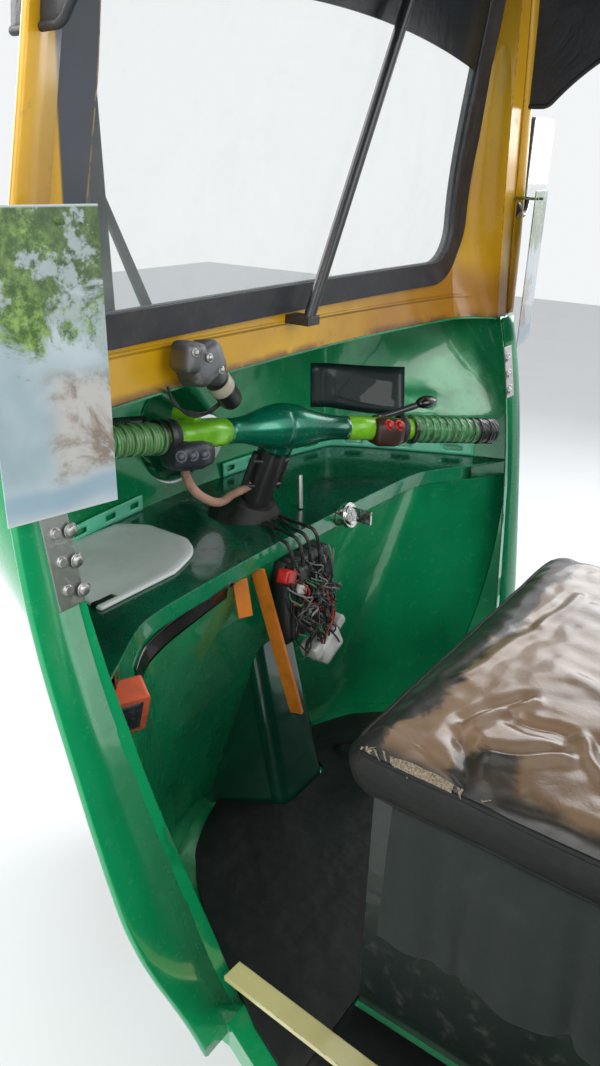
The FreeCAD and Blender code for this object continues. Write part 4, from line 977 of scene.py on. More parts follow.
def dense(piece):
    """Smooths a pad with one level of subdivision."""
    piece.modifiers.new("dense", "SUBSURF").levels = 1
    keep_modifiers(piece)


def new_piece(name, vertices, faces, material, smooth=True):
    """A mesh object from plain lists."""
    mesh = bpy.data.meshes.new(name)
    mesh.from_pydata([tuple(v) for v in vertices], [], faces)
    mesh.validate()
    return placed(name, mesh, material, smooth)


def from_bmesh(name, bm, material, smooth=True):
    mesh = bpy.data.meshes.new(name)
    bm.to_mesh(mesh)
    bm.free()
    return placed(name, mesh, material, smooth)


def grid_piece(name, rows, material, close_across=False, close_along=False):
    """A surface through rows of points."""
    faces = quads(len(rows), len(rows[0]), close_across, close_along)
    return new_piece(name, [p for row in rows for p in row], faces, material)


def swept(name, sections, material):
    """A closed bar through equal rings of points, with both ends capped."""
    count = len(sections[0])
    faces = quads(len(sections), count, close_across=True)
    last = (len(sections) - 1) * count
    faces += [tuple(reversed(range(count))), tuple(range(last, last + count))]
    return new_piece(name, [p for ring in sections for p in ring], faces, material)


def blocks(name, entries, material):
    """Round-edged blocks as one mesh: centre, size and radius in mm, turn about x, y, z in degrees."""
    whole = bmesh.new()
    for centre, size, radius, turn in entries:
        size = [side * MM for side in size]
        half = Vector(size) * 0.5
        part = soft_block(-half, half, radius * MM, max(size) / 7)
        turned = Matrix.Identity(4)
        for angle, letter in zip(turn, "XYZ"):
            turned = Matrix.Rotation(radians(angle), 4, letter) @ turned
        bmesh.ops.transform(part, matrix=Matrix.Translation(at(*centre)) @ turned, verts=part.verts)
        mesh = bpy.data.meshes.new("block")
        part.to_mesh(mesh)
        part.free()
        whole.from_mesh(mesh)
        bpy.data.meshes.remove(mesh)
    return from_bmesh(name, whole, material)


def search_tree(mesh):
    """A tree that rays are cast against."""
    bm = bmesh.new()
    bm.from_mesh(mesh)
    tree = BVHTree.FromBMesh(bm)
    bm.free()
    return tree


def surface(*nodes):
    """Search trees over the meshes of CAD nodes."""
    return [search_tree(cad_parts[node].data) for node in nodes]


def struck(trees, start, ahead):
    """Where a ray first meets one of the surfaces."""
    hits = [tree.ray_cast(start, ahead) for tree in trees]
    hits = [hit for hit in hits if hit[0] is not None]
    return min(hits, key=lambda hit: hit[3])[0] if hits else None


def keep_modifiers(piece):
    """Applies a piece's modifiers to its mesh."""
    graph = bpy.context.evaluated_depsgraph_get()
    mesh = bpy.data.meshes.new_from_object(piece.evaluated_get(graph))
    old = piece.data
    piece.modifiers.clear()
    piece.data = mesh
    bpy.data.meshes.remove(old)
    mesh.polygons.foreach_set("use_smooth", [True] * len(mesh.polygons))
    return piece


def tubes(name, lines, radius, material, resolution=3):
    """Thin round tubes through lists of points, as one mesh."""
    curve = bpy.data.curves.new(name, "CURVE")
    curve.dimensions = "3D"
    curve.bevel_depth = radius
    curve.bevel_resolution = resolution
    curve.use_fill_caps = True
    curve.resolution_u = 6
    for line in lines:
        spline = curve.splines.new("NURBS")
        spline.points.add(len(line) - 1)
        for point, place in zip(spline.points, line):
            point.co = (*place, 1)
        spline.order_u = min(3, len(line))
        spline.use_endpoint_u = True
    rough = linked(name + "_line", curve)
    graph = bpy.context.evaluated_depsgraph_get()
    mesh = bpy.data.meshes.new_from_object(rough.evaluated_get(graph))
    bpy.data.objects.remove(rough)
    bpy.data.curves.remove(curve)
    mesh.name = name
    mesh.materials.clear()
    return placed(name, mesh, material)


def soft_block(low, high, radius, step):
    """A closed block with rounded edges, even and dense enough to bend."""
    low = Vector(low)
    high = Vector(high)
    size = high - low
    counts = [max(2, round(size[i] / step)) for i in range(3)]
    bm = bmesh.new()
    seen = {}

    def corner(i, j, k):
        key = (i, j, k)
        if key not in seen:
            p = Vector([low[n] + size[n] * key[n] / counts[n] for n in range(3)])
            core = Vector([min(max(p[n], low[n] + radius), high[n] - radius) for n in range(3)])
            away = p - core
            if away.length > 1e-9:
                p = core + away.normalized() * radius
            seen[key] = bm.verts.new(p)
        return seen[key]

    for n in range(3):
        u, v = [m for m in range(3) if m != n]
        for end in (0, counts[n]):
            for i in range(counts[u]):
                for j in range(counts[v]):
                    ring = []
                    for di, dj in ((0, 0), (1, 0), (1, 1), (0, 1)):
                        key = [0, 0, 0]
                        key[n] = end
                        key[u] = i + di
                        key[v] = j + dj
                        ring.append(corner(*key))
                    bm.faces.new(ring)
    bmesh.ops.recalc_face_normals(bm, faces=bm.faces)
    return bm


def remeshed(piece, voxel):
    """Gives a closed mesh even faces."""
    remesh = piece.modifiers.new("even", "REMESH")
    remesh.mode = "VOXEL"
    remesh.voxel_size = voxel
    return keep_modifiers(piece)


SETTLE_FRAMES = 20


def inflate(piece, pressure, cap, keep):
    """Swells a closed mesh with cloth pressure, holding each point within a cap."""
    start = points_of(piece)
    cloth = piece.modifiers.new("cloth", "CLOTH")
    cloth.settings.use_pressure = True
    cloth.settings.uniform_pressure_force = pressure
    cloth.settings.quality = 4
    cloth.settings.effector_weights.gravity = 0
    cloth.settings.tension_stiffness = 12
    cloth.settings.compression_stiffness = 12
    cloth.settings.bending_stiffness = 0.4
    cloth.point_cache.frame_start = 1
    cloth.point_cache.frame_end = SETTLE_FRAMES
    scene = bpy.context.scene
    for number in range(1, SETTLE_FRAMES + 1):
        scene.frame_set(number)
    keep_modifiers(piece)
    scene.frame_set(1)
    step = points_of(piece) - start
    far = np.linalg.norm(step, axis=1, keepdims=True)
    held = start + step * np.minimum(1, cap / np.maximum(far, 1e-9))
    move_points(piece, keep(held, start))


def put(piece, body, replaces=()):
    """Rides a finished piece on its body."""
    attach(piece, body)
    if replaces:
        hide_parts(*replaces)
    return piece


def put_tubes(name, lines, radius, material, resolution, body, replaces=()):
    """Rods, cables or wires on a body."""
    return put(tubes(name, lines, radius, material, resolution), body, replaces)


# Washer, head and dome of a stud: radii below and above, height and lift, as shares of its own.
STUD_LAYERS = ((1.45, 1.4, 0.25, 0.125), (1, 0.94, 0.75, 0.62), (0.94, 0.45, 0.3, 1.15))


def studs(name, places, material, body, sides=6):
    """Bolt heads or rivets: each place is a point, an outward direction, a radius and a height."""
    bm = bmesh.new()
    for point, outward, radius, height in places:
        turn = Vector(outward).normalized().to_track_quat("Z", "Y").to_matrix().to_4x4()
        spin = Matrix.Rotation(point[0] * 97 + point[2] * 31, 4, "Z")
        stand = Matrix.Translation(point) @ turn @ spin
        for count, (low, high, tall, lift) in zip((24, sides or 16, sides or 16), STUD_LAYERS):
            bmesh.ops.create_cone(
                bm, cap_ends=True, segments=count, radius1=radius * low, radius2=radius * high,
                depth=height * tall, matrix=stand @ Matrix.Translation((0, 0, height * lift)),
            )
    return put(from_bmesh(name, bm, material, smooth=False), body)


# Soft pieces


# Folds of the seat's clear cover: both ends, half width, height of the ridge, depth beside it.
SEAT_FOLDS = (
    (0.3, 0.203, 0.264, 0.134, 0.008, 1, 0.8),
    (0.268, 0.178, 0.216, 0.172, 0.0075, -0.6, 0.9),
    (0.262, 0.246, 0.204, 0.203, 0.0085, 1, 0.9),
    (0.226, 0.304, 0.284, 0.222, 0.011, 0.2, 1.3),
    (0.23, 0.288, 0.06, 0.287, 0.0075, 0.9, 0.5),
    (0.378, 0.258, 0.274, 0.284, 0.0035, 0.25, 0.35),
    (0.195, 0.166, 0.16, 0.212, 0.008, 0.8, 0.7),
    (0.35, 0.13, 0.318, -0.02, 0.009, 0.45, 0.2),
    (0.318, -0.03, 0.306, -0.14, 0.007, 0.6, 0.35),
    (0.24, 0.06, 0.13, 0.1, 0.014, 0.25, 0.2),
    (0.27, -0.11, 0.12, -0.06, 0.015, 0.25, 0.15),
    (0.22, -0.23, 0.09, -0.18, 0.012, 0.35, 0.25),
    (0.13, 0.23, 0.075, 0.15, 0.01, 0.45, 0.4),
)


def seat_fold(x, y):
    """Height of the folds in the seat's clear cover at a point of its top."""
    total = 0.5 * noise.noise(Vector((x * 8, y * 8, 3)))
    for x0, y0, x1, y1, wide, ridge, hollow in SEAT_FOLDS:
        dx, dy = x1 - x0, y1 - y0
        long = hypot(dx, dy)
        share = min(1, max(0, ((x - x0) * dx + (y - y0) * dy) / long ** 2))
        ex, ey = x - x0 - dx * share, y - y0 - dy * share
        side = (dx * ey - dy * ex) / long
        past = (ex * ex + ey * ey - side * side) / (1.5 * wide) ** 2
        waver = side + 0.25 * wide * sin(share * 7 + x0 * 90)
        total += ridge * exp(-((waver / wide) ** 2) - past)
        total -= hollow * exp(-(((waver - 1.7 * wide) / wide) ** 2) - past)
    return total


def fill_box(piece, low, high):
    """Stretches a swollen pad back to its own width, length and height."""
    points = points_of(piece)
    least, most = points.min(axis=0), points.max(axis=0)
    move_points(piece, np.array(low) + (points - least) / (most - least) * (np.array(high) - np.array(low)))


def sewn_ring(piece, low, high, radius, height, proud):
    """A ring of points that lies on a pad's side at one height."""
    tree = search_tree(piece.data)
    middle = (low + high) / 2
    points = []
    for p in rounded_ring(low, high, radius, height, 0.0035):
        inward = Vector((middle.x - p.x, middle.y - p.y, 0)).normalized()
        hit = tree.ray_cast(p - inward * 0.03, inward)[0]
        points.append(hit + inward * (0.002 - proud) if hit else p)
    smooth = []
    for i, p in enumerate(points):
        smooth.append((points[i - 1] + p * 2 + points[(i + 1) % len(points)]) / 4)
    return smooth


# Seat pad: spacing of its points, pressure of its filling, and how far that may move a point.
SEAT_VOXEL = 0.006
SEAT_PRESSURE = 4
SEAT_SWELL = 0.008


def make_seat():
    """Seat cushion swollen by simulation, folded clear cover, piping and the torn seam."""
    low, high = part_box("seat_cushion")
    bm = soft_block(low + Vector((0.004, 0.004, 0)), high - Vector((0.004, 0.004, 0.01)), 0.03, 0.012)
    pad = from_bmesh("seat_pad", bm, "seat")
    bottom = low.z + 0.012

    def held(points, start):
        points[:, 2] = np.where(start[:, 2] < bottom, start[:, 2], points[:, 2])
        points[:, 0] = np.clip(points[:, 0], low.x, high.x)
        points[:, 1] = np.clip(points[:, 1], low.y, high.y)
        return points

    remeshed(pad, SEAT_VOXEL)
    inflate(pad, SEAT_PRESSURE, SEAT_SWELL, held)
    dense(pad)
    middle = (low + high) / 2
    half = (high - low) / 2
    fill_box(pad, low + Vector((0.004, 0.003, 0)), high - Vector((0.004, 0.003, 0.012)))
    crown = sizes().crown
    wrinkle = sizes().wrinkle
    for v in pad.data.vertices:
        rise = (v.co.z - middle.z) / half.z
        if rise < 0:
            tuck = 1 - 0.035 * min(1, -rise)
            v.co.x = middle.x + (v.co.x - middle.x) * tuck
            v.co.y = middle.y + (v.co.y - middle.y) * tuck
            continue
        u = (v.co.x - middle.x) / half.x
        w = (v.co.y - middle.y) / half.y
        inner = max(0, 1 - u * u) * max(0, 1 - w * w)
        weight = min(1, rise * 1.6)
        v.co.z += weight * (crown * inner ** 0.6 - 0.002)
        v.co.z += weight * wrinkle * seat_fold(v.co.x, v.co.y) * min(1, 4 * inner)
        v.co.z += weight * 0.0015 * noise.noise(v.co * 38)
    put(pad, "cab", ("seat_cushion",))
    pad.data.materials.append(FINISHES["seat_side"])
    for face in pad.data.polygons:
        if face.center.z < 0.428 or abs(face.normal.z) < 0.35:
            face.material_index = 1
    make_piping(pad, low, high)
    make_torn_seam(pad, high)


def rounded_ring(low, high, radius, height, inset):
    """Points round a rounded rectangle at one height."""
    x0, x1 = low.x + inset, high.x - inset
    y0, y1 = low.y + inset, high.y - inset
    points = []
    corners = (
        (x1 - radius, y1 - radius, 0), (x0 + radius, y1 - radius, 90),
        (x0 + radius, y0 + radius, 180), (x1 - radius, y0 + radius, 270),
    )
    for cx, cy, start in corners:
        for number in range(6):
            angle = radians(start + 18 * number)
            points.append(Vector((cx + radius * cos(angle), cy + radius * sin(angle), height)))
    full = []
    for a, b in zip(points, points[1:] + points[:1]):
        count = max(1, int((b - a).length / 0.02))
        full += [a.lerp(b, n / count) for n in range(count)]
    return full


def ring_tube(name, points, radius, material, wobble):
    """A closed tube round a ring of points."""
    count = len(points)
    rows = []
    for i, p in enumerate(points):
        ahead = (points[(i + 1) % count] - points[i - 1]).normalized()
        out, up = square_to(ahead)
        swell = 1 + wobble * noise.noise(p * 60)
        rows.append(circle(p, out, up, radius * swell, 8))
    return grid_piece(name, rows, material, close_across=True, close_along=True)


def make_piping(pad, low, high):
    """Welt round the top edge and the hem of the seat cover."""
    upper = sewn_ring(pad, low, high, 0.04, high.z - 0.03, 0.001)
    lower = sewn_ring(pad, low, high, 0.036, low.z + 0.012, 0.0004)
    put(ring_tube("seat_piping", upper, sizes().welt, "seat_side", 0.25), "cab")
    put(ring_tube("seat_hem", lower, 0.0028, "seat_side", 0.3), "cab")


def make_torn_seam(pad, high):
    """Frayed strip along the left edge of the seat where the seam has opened."""
    rng = random.Random(5)
    bm = bmesh.new()
    beside = Vector((0.31, high.y + 0.05, high.z - 0.028))
    hit = search_tree(pad.data).ray_cast(beside, Vector((0, -1, 0)))[0]
    y = (hit.y if hit else high.y) - 0.004
    x = 0.19
    while x < 0.385:
        count = 1 + rng.randrange(4) if x > 0.27 else rng.randrange(2)
        for _ in range(count):
            width = rng.uniform(0.0008, 0.0028)
            tall = rng.uniform(0.004, 0.013)
            lean = rng.uniform(-0.008, 0.008)
            spans = ((-0.004, 0.004), (-0.001, 0.002), (-0.004, 0.004))
            dx, dy, dz = [rng.uniform(*span) for span in spans]
            base = Vector((x + dx, y + dy, high.z - 0.024 + dz))
            out = Vector((0, rng.uniform(0.001, 0.006), 0))
            a = bm.verts.new(base - Vector((width, 0, 0)))
            b = bm.verts.new(base + Vector((width, 0, 0)))
            c = bm.verts.new(base + out + Vector((lean + width * 0.6, 0, -tall * 0.6)))
            d = bm.verts.new(base + out * 1.2 + Vector((lean * 1.4, 0, -tall)))
            e = bm.verts.new(base + out + Vector((lean - width * 0.6, 0, -tall * 0.6)))
            bm.faces.new((a, b, c, e))
            bm.faces.new((e, c, d))
        x += rng.uniform(0.002, 0.006)
    frays = from_bmesh("seat_torn_threads", bm, "torn", smooth=False)
    put(thicken(frays, 0.0006, centred=False), "cab")
    rows = []
    for number in range(60):
        share = number / 59
        px = 0.278 + 0.066 * share
        gape = 0.0055 * sin(pi * share) * (0.6 + 0.4 * noise.noise(Vector((px * 50, 0, 0))))
        rows.append([
            Vector((px, y + 0.0015, high.z - 0.02 + gape)),
            Vector((px, y + 0.006, high.z - 0.025 + 0.002 * noise.noise(Vector((px * 90, 1, 0))))),
            Vector((px, y + 0.005, high.z - 0.031 - gape)),
        ])
    foam = grid_piece("seat_foam_gap", rows, "torn")
    put(foam, "cab")


def make_skirt():
    """Cloth that hangs in folds from the seat on the door side."""
    low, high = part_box("seat_skirt")
    rows = []
    down = 34
    for i in range(down + 1):
        fall = i / down
        row = []
        for j in range(91):
            share = j / 90
            x = low.x + (high.x - low.x) * share
            fold = sin(share * 17 + 1.3 * sin(share * 5)) + 0.3 * sin(share * 43 + 2)
            deep = 0.002 + 0.012 * fall ** 0.7
            out = (fold * 0.5 + 0.7) * deep
            z = high.z - (high.z - low.z) * fall
            z += 0.01 * fall * sin(share * 9)
            x += 0.01 * fall * sin(share * 13 + 1)
            row.append(Vector((min(max(x, low.x), high.x), low.y + 0.002 + out, max(z, low.z))))
        rows.append(row)
    skirt = grid_piece("seat_skirt_cloth", rows, "skirt")
    put(thicken(skirt, 0.0016), "cab", ("seat_skirt",))


def make_backrest():
    """Stitched pad on the partition."""
    low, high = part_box("backrest")
    pad = from_bmesh("back_pad", soft_block(low, high, 0.016, 0.01), "seat_side")
    dense(pad)
    middle = (low + high) / 2
    half = (high - low) / 2
    for v in pad.data.vertices:
        front = (v.co.x - low.x) / (high.x - low.x)
        u = (v.co.y - middle.y) / half.y
        w = (v.co.z - middle.z) / half.z
        crown = max(0, 1 - u ** 4) * max(0, 1 - w ** 2)
        groove = sum(exp(-(((v.co.y - y) / 0.006) ** 2)) for y in (-0.153, -0.051, 0.051, 0.153))
        if front > 0.5:
            v.co.x += 0.004 * crown - 0.007 * groove * (1 - w ** 6) - 0.004
        pull = 0.006 * (1 - abs(u)) * (1 - abs(w))
        v.co.y -= copysign(pull * 0.3, u)
    put(pad, "cab", ("backrest",))


# Canopy sections: distance forward, half width, side height and crown height, as in the CAD source.
CANOPY_ROWS = (
    (29, 414, 1612, 1660), (-300, 462, 1632, 1696), (-600, 506, 1640, 1708.6),
)
CANOPY_FRONT = CANOPY_ROWS[0][0]
CANOPY_BOW = CANOPY_ROWS[1][0]
CANOPY_REAR = CANOPY_ROWS[2][0]
CANOPY_STEPS = 80
FLAP_POINTS = 26
ROOF_POINTS = 70
CANOPY_FLARE = 38
CANOPY_LOW = 1300
FLAP_LOW = 1352
BROW_LOW = 1602
DOOR_ARCH = (-290, 1130, 335)
# The cloth's thickness in metres, and how far it lies inside the CAD's canopy, in mm.
CLOTH = 0.0022
CLOTH_INSET = 1.2


def canopy_row(x):
    """Half width, side height and crown at one distance, between the given sections."""
    rows = CANOPY_ROWS
    first, second = (rows[0], rows[1]) if x > rows[1][0] else (rows[1], rows[2])
    share = (x - first[0]) / (second[0] - first[0])
    return [a + (b - a) * share for a, b in zip(first[1:], second[1:])]


def canopy_edge(x):
    """Height of the canopy's lower edge at one distance."""
    cx, cz, radius = DOOR_ARCH
    if x <= cx:
        return cz + radius
    inside = radius ** 2 - (x - cx) ** 2
    arch = cz + sqrt(inside) if inside > 0 else 0
    return max(FLAP_LOW, arch)


def canopy_spread(side, z):
    """How far a flap stands out past the canopy's side, at a height below it."""
    return CANOPY_FLARE * (side - z) / (side - CANOPY_LOW)


def canopy_section(x):
    """Points across the canopy from its left lower edge to its right one."""
    half, side, crown = canopy_row(x)
    low = canopy_edge(x)
    left = []
    for i in range(FLAP_POINTS):
        z = low + (side - low) * i / FLAP_POINTS
        left.append(Vector((x, half + canopy_spread(side, z), z)))
    rise = crown - side
    radius = (half ** 2 + rise ** 2) / (2 * rise)
    roof = []
    for i in range(ROOF_POINTS + 1):
        y = half * (1 - 2 * i / ROOF_POINTS)
        roof.append(Vector((x, y, crown - radius + sqrt(radius ** 2 - y ** 2))))
    right = [Vector((p.x, -p.y, p.z)) for p in reversed(left)]
    return left + roof + right


def canopy_cloth(stations):
    """Cloth that sags a little between its bows and ripples on its flaps."""
    roof_last = FLAP_POINTS + ROOF_POINTS
    rows = []
    for x in stations:
        span = sin(pi * min(1, abs(x - CANOPY_BOW) / abs(CANOPY_BOW))) ** 2
        row = []
        for j, p in enumerate(canopy_section(x)):
            side = copysign(1, p.y)
            ripple = noise.noise(Vector((p.x * 0.01, p.y * 0.012, p.z * 0.014))) * 2.2
            if FLAP_POINTS <= j <= roof_last:
                sag = sizes().sag * 1000 * span * (1 - 0.6 * (abs(p.y) / 420))
                row.append(at(p.x, p.y - side * CLOTH_INSET, p.z - sag - CLOTH_INSET - abs(ripple) * 0.5))
            else:
                push = ripple + 1.4 * sin(p.x * 0.055 + p.z * 0.02)
                row.append(at(p.x, p.y - side * (CLOTH_INSET + max(0, -push)), p.z - CLOTH_INSET))
        rows.append(row)
    return thicken(grid_piece("canopy_cloth", rows, "canopy"), CLOTH)


def canopy_hems(stations):
    """Rolled hem along both flaps and the front edge."""
    lines = []
    for side, _ in SIDES:
        line = []
        for x in stations:
            half, top, _ = canopy_row(x)
            low = canopy_edge(x)
            line.append(at(x, side * (half + canopy_spread(top, low) - 2), low + 2))
        lines.append(line)
    roof = canopy_section(CANOPY_FRONT)[FLAP_POINTS:FLAP_POINTS + ROOF_POINTS + 1]
    lines.append([at(p.x - 3, p.y * 0.99, p.z - 4) for p in roof])
    return tubes("canopy_hem", lines, sizes().hem, "canopy")


def canopy_seams():
    """Sewn seams along the sides, over the middle bow and in front of the rear hoop."""
    lines = []
    for side, _ in SIDES:
        line = []
        for x in range(-596, 26, 12):
            half, top, _ = canopy_row(x)
            line.append(at(x, side * (half - 4), top - 1))
        lines.append(line)
    for x in (CANOPY_BOW, -588):
        roof = canopy_section(x)[FLAP_POINTS + 2:FLAP_POINTS + ROOF_POINTS - 1]
        lines.append([at(x, p.y * 0.97, p.z - 1) for p in roof])
    return tubes("canopy_seams", lines, 0.0024, "canopy", resolution=2)


def canopy_brow():
    """Cloth that closes the gap between the roof's front edge and the windscreen's head."""
    half, top, crown = canopy_row(CANOPY_FRONT)
    rows = []
    for i in range(61):
        y = half * 0.985 * (1 - 2 * i / 60)
        high = top + (crown - top) * (1 - (y / half) ** 2) - 2
        rows.append([
            at(CANOPY_FRONT - back, y, z)
            for back, z in ((2, high), (2.4, (high + BROW_LOW) / 2), (2, BROW_LOW))
        ])
    return thicken(grid_piece("canopy_brow", rows, "canopy"), CLOTH, centred=False)


def make_canopy():
    """Roof cloth over its bows with side flaps, seams and a rolled hem."""
    run = CANOPY_REAR - CANOPY_FRONT
    stations = [CANOPY_FRONT + run * i / CANOPY_STEPS for i in range(CANOPY_STEPS + 1)]
    cloth = put(canopy_cloth(stations), "cab", ("canopy",))
    others = [canopy_hems(stations), canopy_seams(), canopy_brow()]
    for piece in others:
        put(piece, "cab")


# Wheel


def tyre_profile():
    """Half section of the tyre from bead to crown: across and outward distances, in mm."""
    return (
        (-34, 108), (-39, 114), (-45, 126), (-49, 140), (-50, 152),
        (-48.5, 166), (-45, 178), (-42, 186), (-36, 194), (-28, 199),
        (-20, 202.4), (-10, 204.4), (0, 205),
    )


def smooth_profile(count):
    """The whole tyre section with evenly spaced points."""
    half = tyre_profile()
    full = list(half) + [(-a, r) for a, r in reversed(half[:-1])]
    pts = np.array(full, float)
    along = np.concatenate([[0], np.cumsum(np.linalg.norm(np.diff(pts, axis=0), axis=1))])
    want = np.linspace(0, along[-1], count)
    return [(float(np.interp(s, along, pts[:, 0])), float(np.interp(s, along, pts[:, 1]))) for s in want]


def groove(across, turn):
    """How deep the tread is cut at a place, from 0 to 1."""
    depth = 0
    for centre in (-13, 13):
        sway = centre + 2.4 * sin(turn * 30)
        depth = max(depth, 1 if abs(across - sway) < 1.9 else 0)
    side = copysign(1, across)
    phase = (turn * 60 / pi + side * across * 0.055) % 2
    if 16 < abs(across) < 39 and abs(phase - 1) < 0.18:
        depth = 1
    small = (turn * 90 / pi - across * 0.03) % 2
    if abs(across) < 10 and abs(small - 1) < 0.1:
        depth = max(depth, 0.6)
    return depth


def wheel_matrix():
    """Places wheel pieces, built round the origin with y as the axle."""
    return steer_matrix() @ Matrix.Translation((WHEEL_CENTRE + SHIFT) * MM)


# Radii in mm: where the tread starts, where the sidewall's rings end, and the bead's seat.
TREAD_FROM = 183
RINGS_TO = 176
BEAD_SEAT = 108.2
TYRE_STEPS = 400


def make_tyre():
    """Tyre with cut tread blocks and a ringed sidewall."""
    depth = sizes().tread / MM
    section = smooth_profile(64)
    rows = []
    stand = wheel_matrix()
    for angle in turns(TYRE_STEPS):
        row = []
        for across, out in section:
            if out > TREAD_FROM:
                out -= depth * groove(across, angle)
            elif out < RINGS_TO:
                across -= copysign(0.7 * max(0, sin(out * 0.55)), across)
            x = out * cos(angle) * MM
            z = out * sin(angle) * MM
            row.append(stand @ Vector((x, across * MM, z)))
        rows.append(row)
    tyre = grid_piece("tyre_treaded", rows, "tyre", close_along=True)
    inner = []
    for angle in turns(TYRE_STEPS // 4):
        inner.append([
            stand @ Vector((BEAD_SEAT * cos(angle) * MM, across * MM, BEAD_SEAT * sin(angle) * MM))
            for across in (34, 0, -34)
        ])
    bead = grid_piece("tyre_bead", inner, "tyre", close_along=True)
    put(tyre, "front_wheel", ("tyre",))
    put(bead, "front_wheel")
    bm = bmesh.new()
    stem = Matrix.Translation((0, 0.03, 0)) @ Matrix.Rotation(radians(-60), 4, "X")
    bmesh.ops.create_cone(
        bm, cap_ends=True, segments=12, radius1=0.0042, radius2=0.0035, depth=0.026,
        matrix=stand @ Matrix.Translation((0, 0, 0.092)) @ stem,
    )
    put(from_bmesh("valve_stem", bm, "strap"), "front_wheel")


# Handlebar


def bar_ring(name, side):
    """A rubber band round the handlebar."""
    start = bar_point(side, RING_ALONG)
    ahead = (bar_point(side, RING_ALONG + 1) - start).normalized()
    u = ahead.cross(UP).normalized()
    v = ahead.cross(u)
    stand = steer_matrix()
    rows = []
    for angle in turns(40):
        out = u * cos(angle) + v * sin(angle)
        rows.append([
            stand @ (start + ahead * (a * RING_TUBE * 2.2) + out * (RING_RADIUS + b * RING_TUBE))
            for a, b in ((-1, 0), (-0.8, 0.8), (0, 1), (0.8, 0.8), (1, 0))
        ])
    put(grid_piece(name, rows, "strap", close_along=True), "steering")


def bar_section(side, along, wide, tall, forward=0, up=0, power=2):
    """A rounded ring round the handlebar at one distance from its middle, in metres at rest."""
    spot = bar_point(side, along, forward, up)
    ahead = (bar_point(side, 50) - bar_point(side, 0)).normalized()
    if abs(along) < 1:
        ahead = Vector((0, side, 0))
    flat, rise = square_to(ahead * side)
    ring = []
    for angle in turns(36):
        c, s = cos(angle), sin(angle)
        u = copysign(abs(c) ** (2 / power), c) * wide * MM
        v = copysign(abs(s) ** (2 / power), s) * tall * MM
        ring.append(steer_matrix() @ (spot + flat * u + rise * v))
    return ring


def bar_body(name, side, stations, material, replaces=()):
    """A casting or moulding round the handlebar, through its stations."""
    rings = [bar_section(side, *station) for station in stations]
    return put(swept(name, rings, material), "steering", replaces)


# Bar cover, in mm: reach to each side, radius at its ends and at its middle.
COVER_REACH = 101
COVER_END = 17.6
COVER_MIDDLE = 33.4


def make_bar_cover():
    """Sheet cover over the middle of the bar, full at its middle and drawn in to both sides."""
    rings = []
    for number in range(-20, 21):
        share = abs(number) / 20
        full = 0.5 + 0.5 * cos(pi * min(1, share * 1.12))
        radius = COVER_END + (COVER_MIDDLE - COVER_END) * full
        rings.append(bar_section(-1 if number < 0 else 1, COVER_REACH * share, radius, radius * 0.97))
    cover = swept("bar_cover", rings, "cover")
    neck = []
    across = Vector((0, 1, 0))
    ahead = across.cross(AXIS_UP)
    for number in range(9):
        down = 34 * (1 - number / 8)
        radius = 25.5 + 4 * (number / 8) ** 2
        centre = BAR_CENTRE - AXIS_UP * down
        neck.append([
            steer_matrix() @ ((p + SHIFT) * MM) for p in circle(centre, across, ahead, radius, 36)
        ])
    put(cover, "steering", ("handlebar_cover",))
    put(swept("bar_cover_neck", neck, "cover"), "steering")


def axis_spot(height, across=0, ahead=0):
    """A point beside the steering axis at a height, in metres at rest."""
    spot = AXIS_TOP + AXIS_UP * ((height - AXIS_TOP.z) / AXIS_UP.z)
    return steer_matrix() @ ((spot + Vector((ahead, across, 0)) + SHIFT) * MM)


def beside_bar(side, *spots):
    """Points beside the handlebar at rest: along it, forward and up from it, in mm."""
    return [steer_matrix() @ bar_point(side, *spot) for spot in spots]


def make_castings():
    """Lime castings inside the grips, the lever's perch and both switch pods."""
    bar_body("casting_left", 1, [
        (103, 15.5, 15.5), (104, 17.4, 17.4), (112, 18, 18, 0, 0, 2.4),
        (118, 21.5, 17, -2, 1, 3), (140, 22, 17, -2, 1, 3.2), (160, 22.5, 18.5, -2, -1, 3.4),
        (182, 22, 19, -1, -2, 3.4), (188, 20, 18, 0, -1, 2.8), (190, 17, 16.5),
    ], "lime")
    bar_body("casting_right", -1, [
        (103, 15.5, 15.5), (104, 16.8, 16.8), (140, 17.2, 17.2, 0, 0, 2.6), (142, 15.4, 15.4),
    ], "lime")
    perch = beside_bar(1, (150, 4, 14), (158, 22, 20), (170, 34, 20))
    put_tubes("lever_perch", [perch], 0.0085, "lime", 5, "steering")
    bar_body("switch_pod_shell_left", 1, [
        (140, 12, 10, -14, -20, 2.4), (143, 19, 15, -14, -20, 2.8),
        (158, 22, 19, -14, -20, 3), (184, 22, 19, -14, -20, 3),
        (200, 18, 15, -14, -21, 2.8), (205, 11, 9, -14, -22, 2.4),
    ], "pod", ("switch_pod_left",))
    bar_body("switch_pod_shell_right", -1, [
        (141, 14, 13, -2, -3, 2.6), (143, 20.5, 18, -2, -3, 3.2), (150, 22, 20, -2, -4, 3.6),
        (176, 22, 20, -2, -4, 3.6), (186, 20.5, 18.5, -2, -3, 3.2), (189, 15, 14, -2, -3, 2.6),
    ], "pod_brown", ("switch_pod_right",))


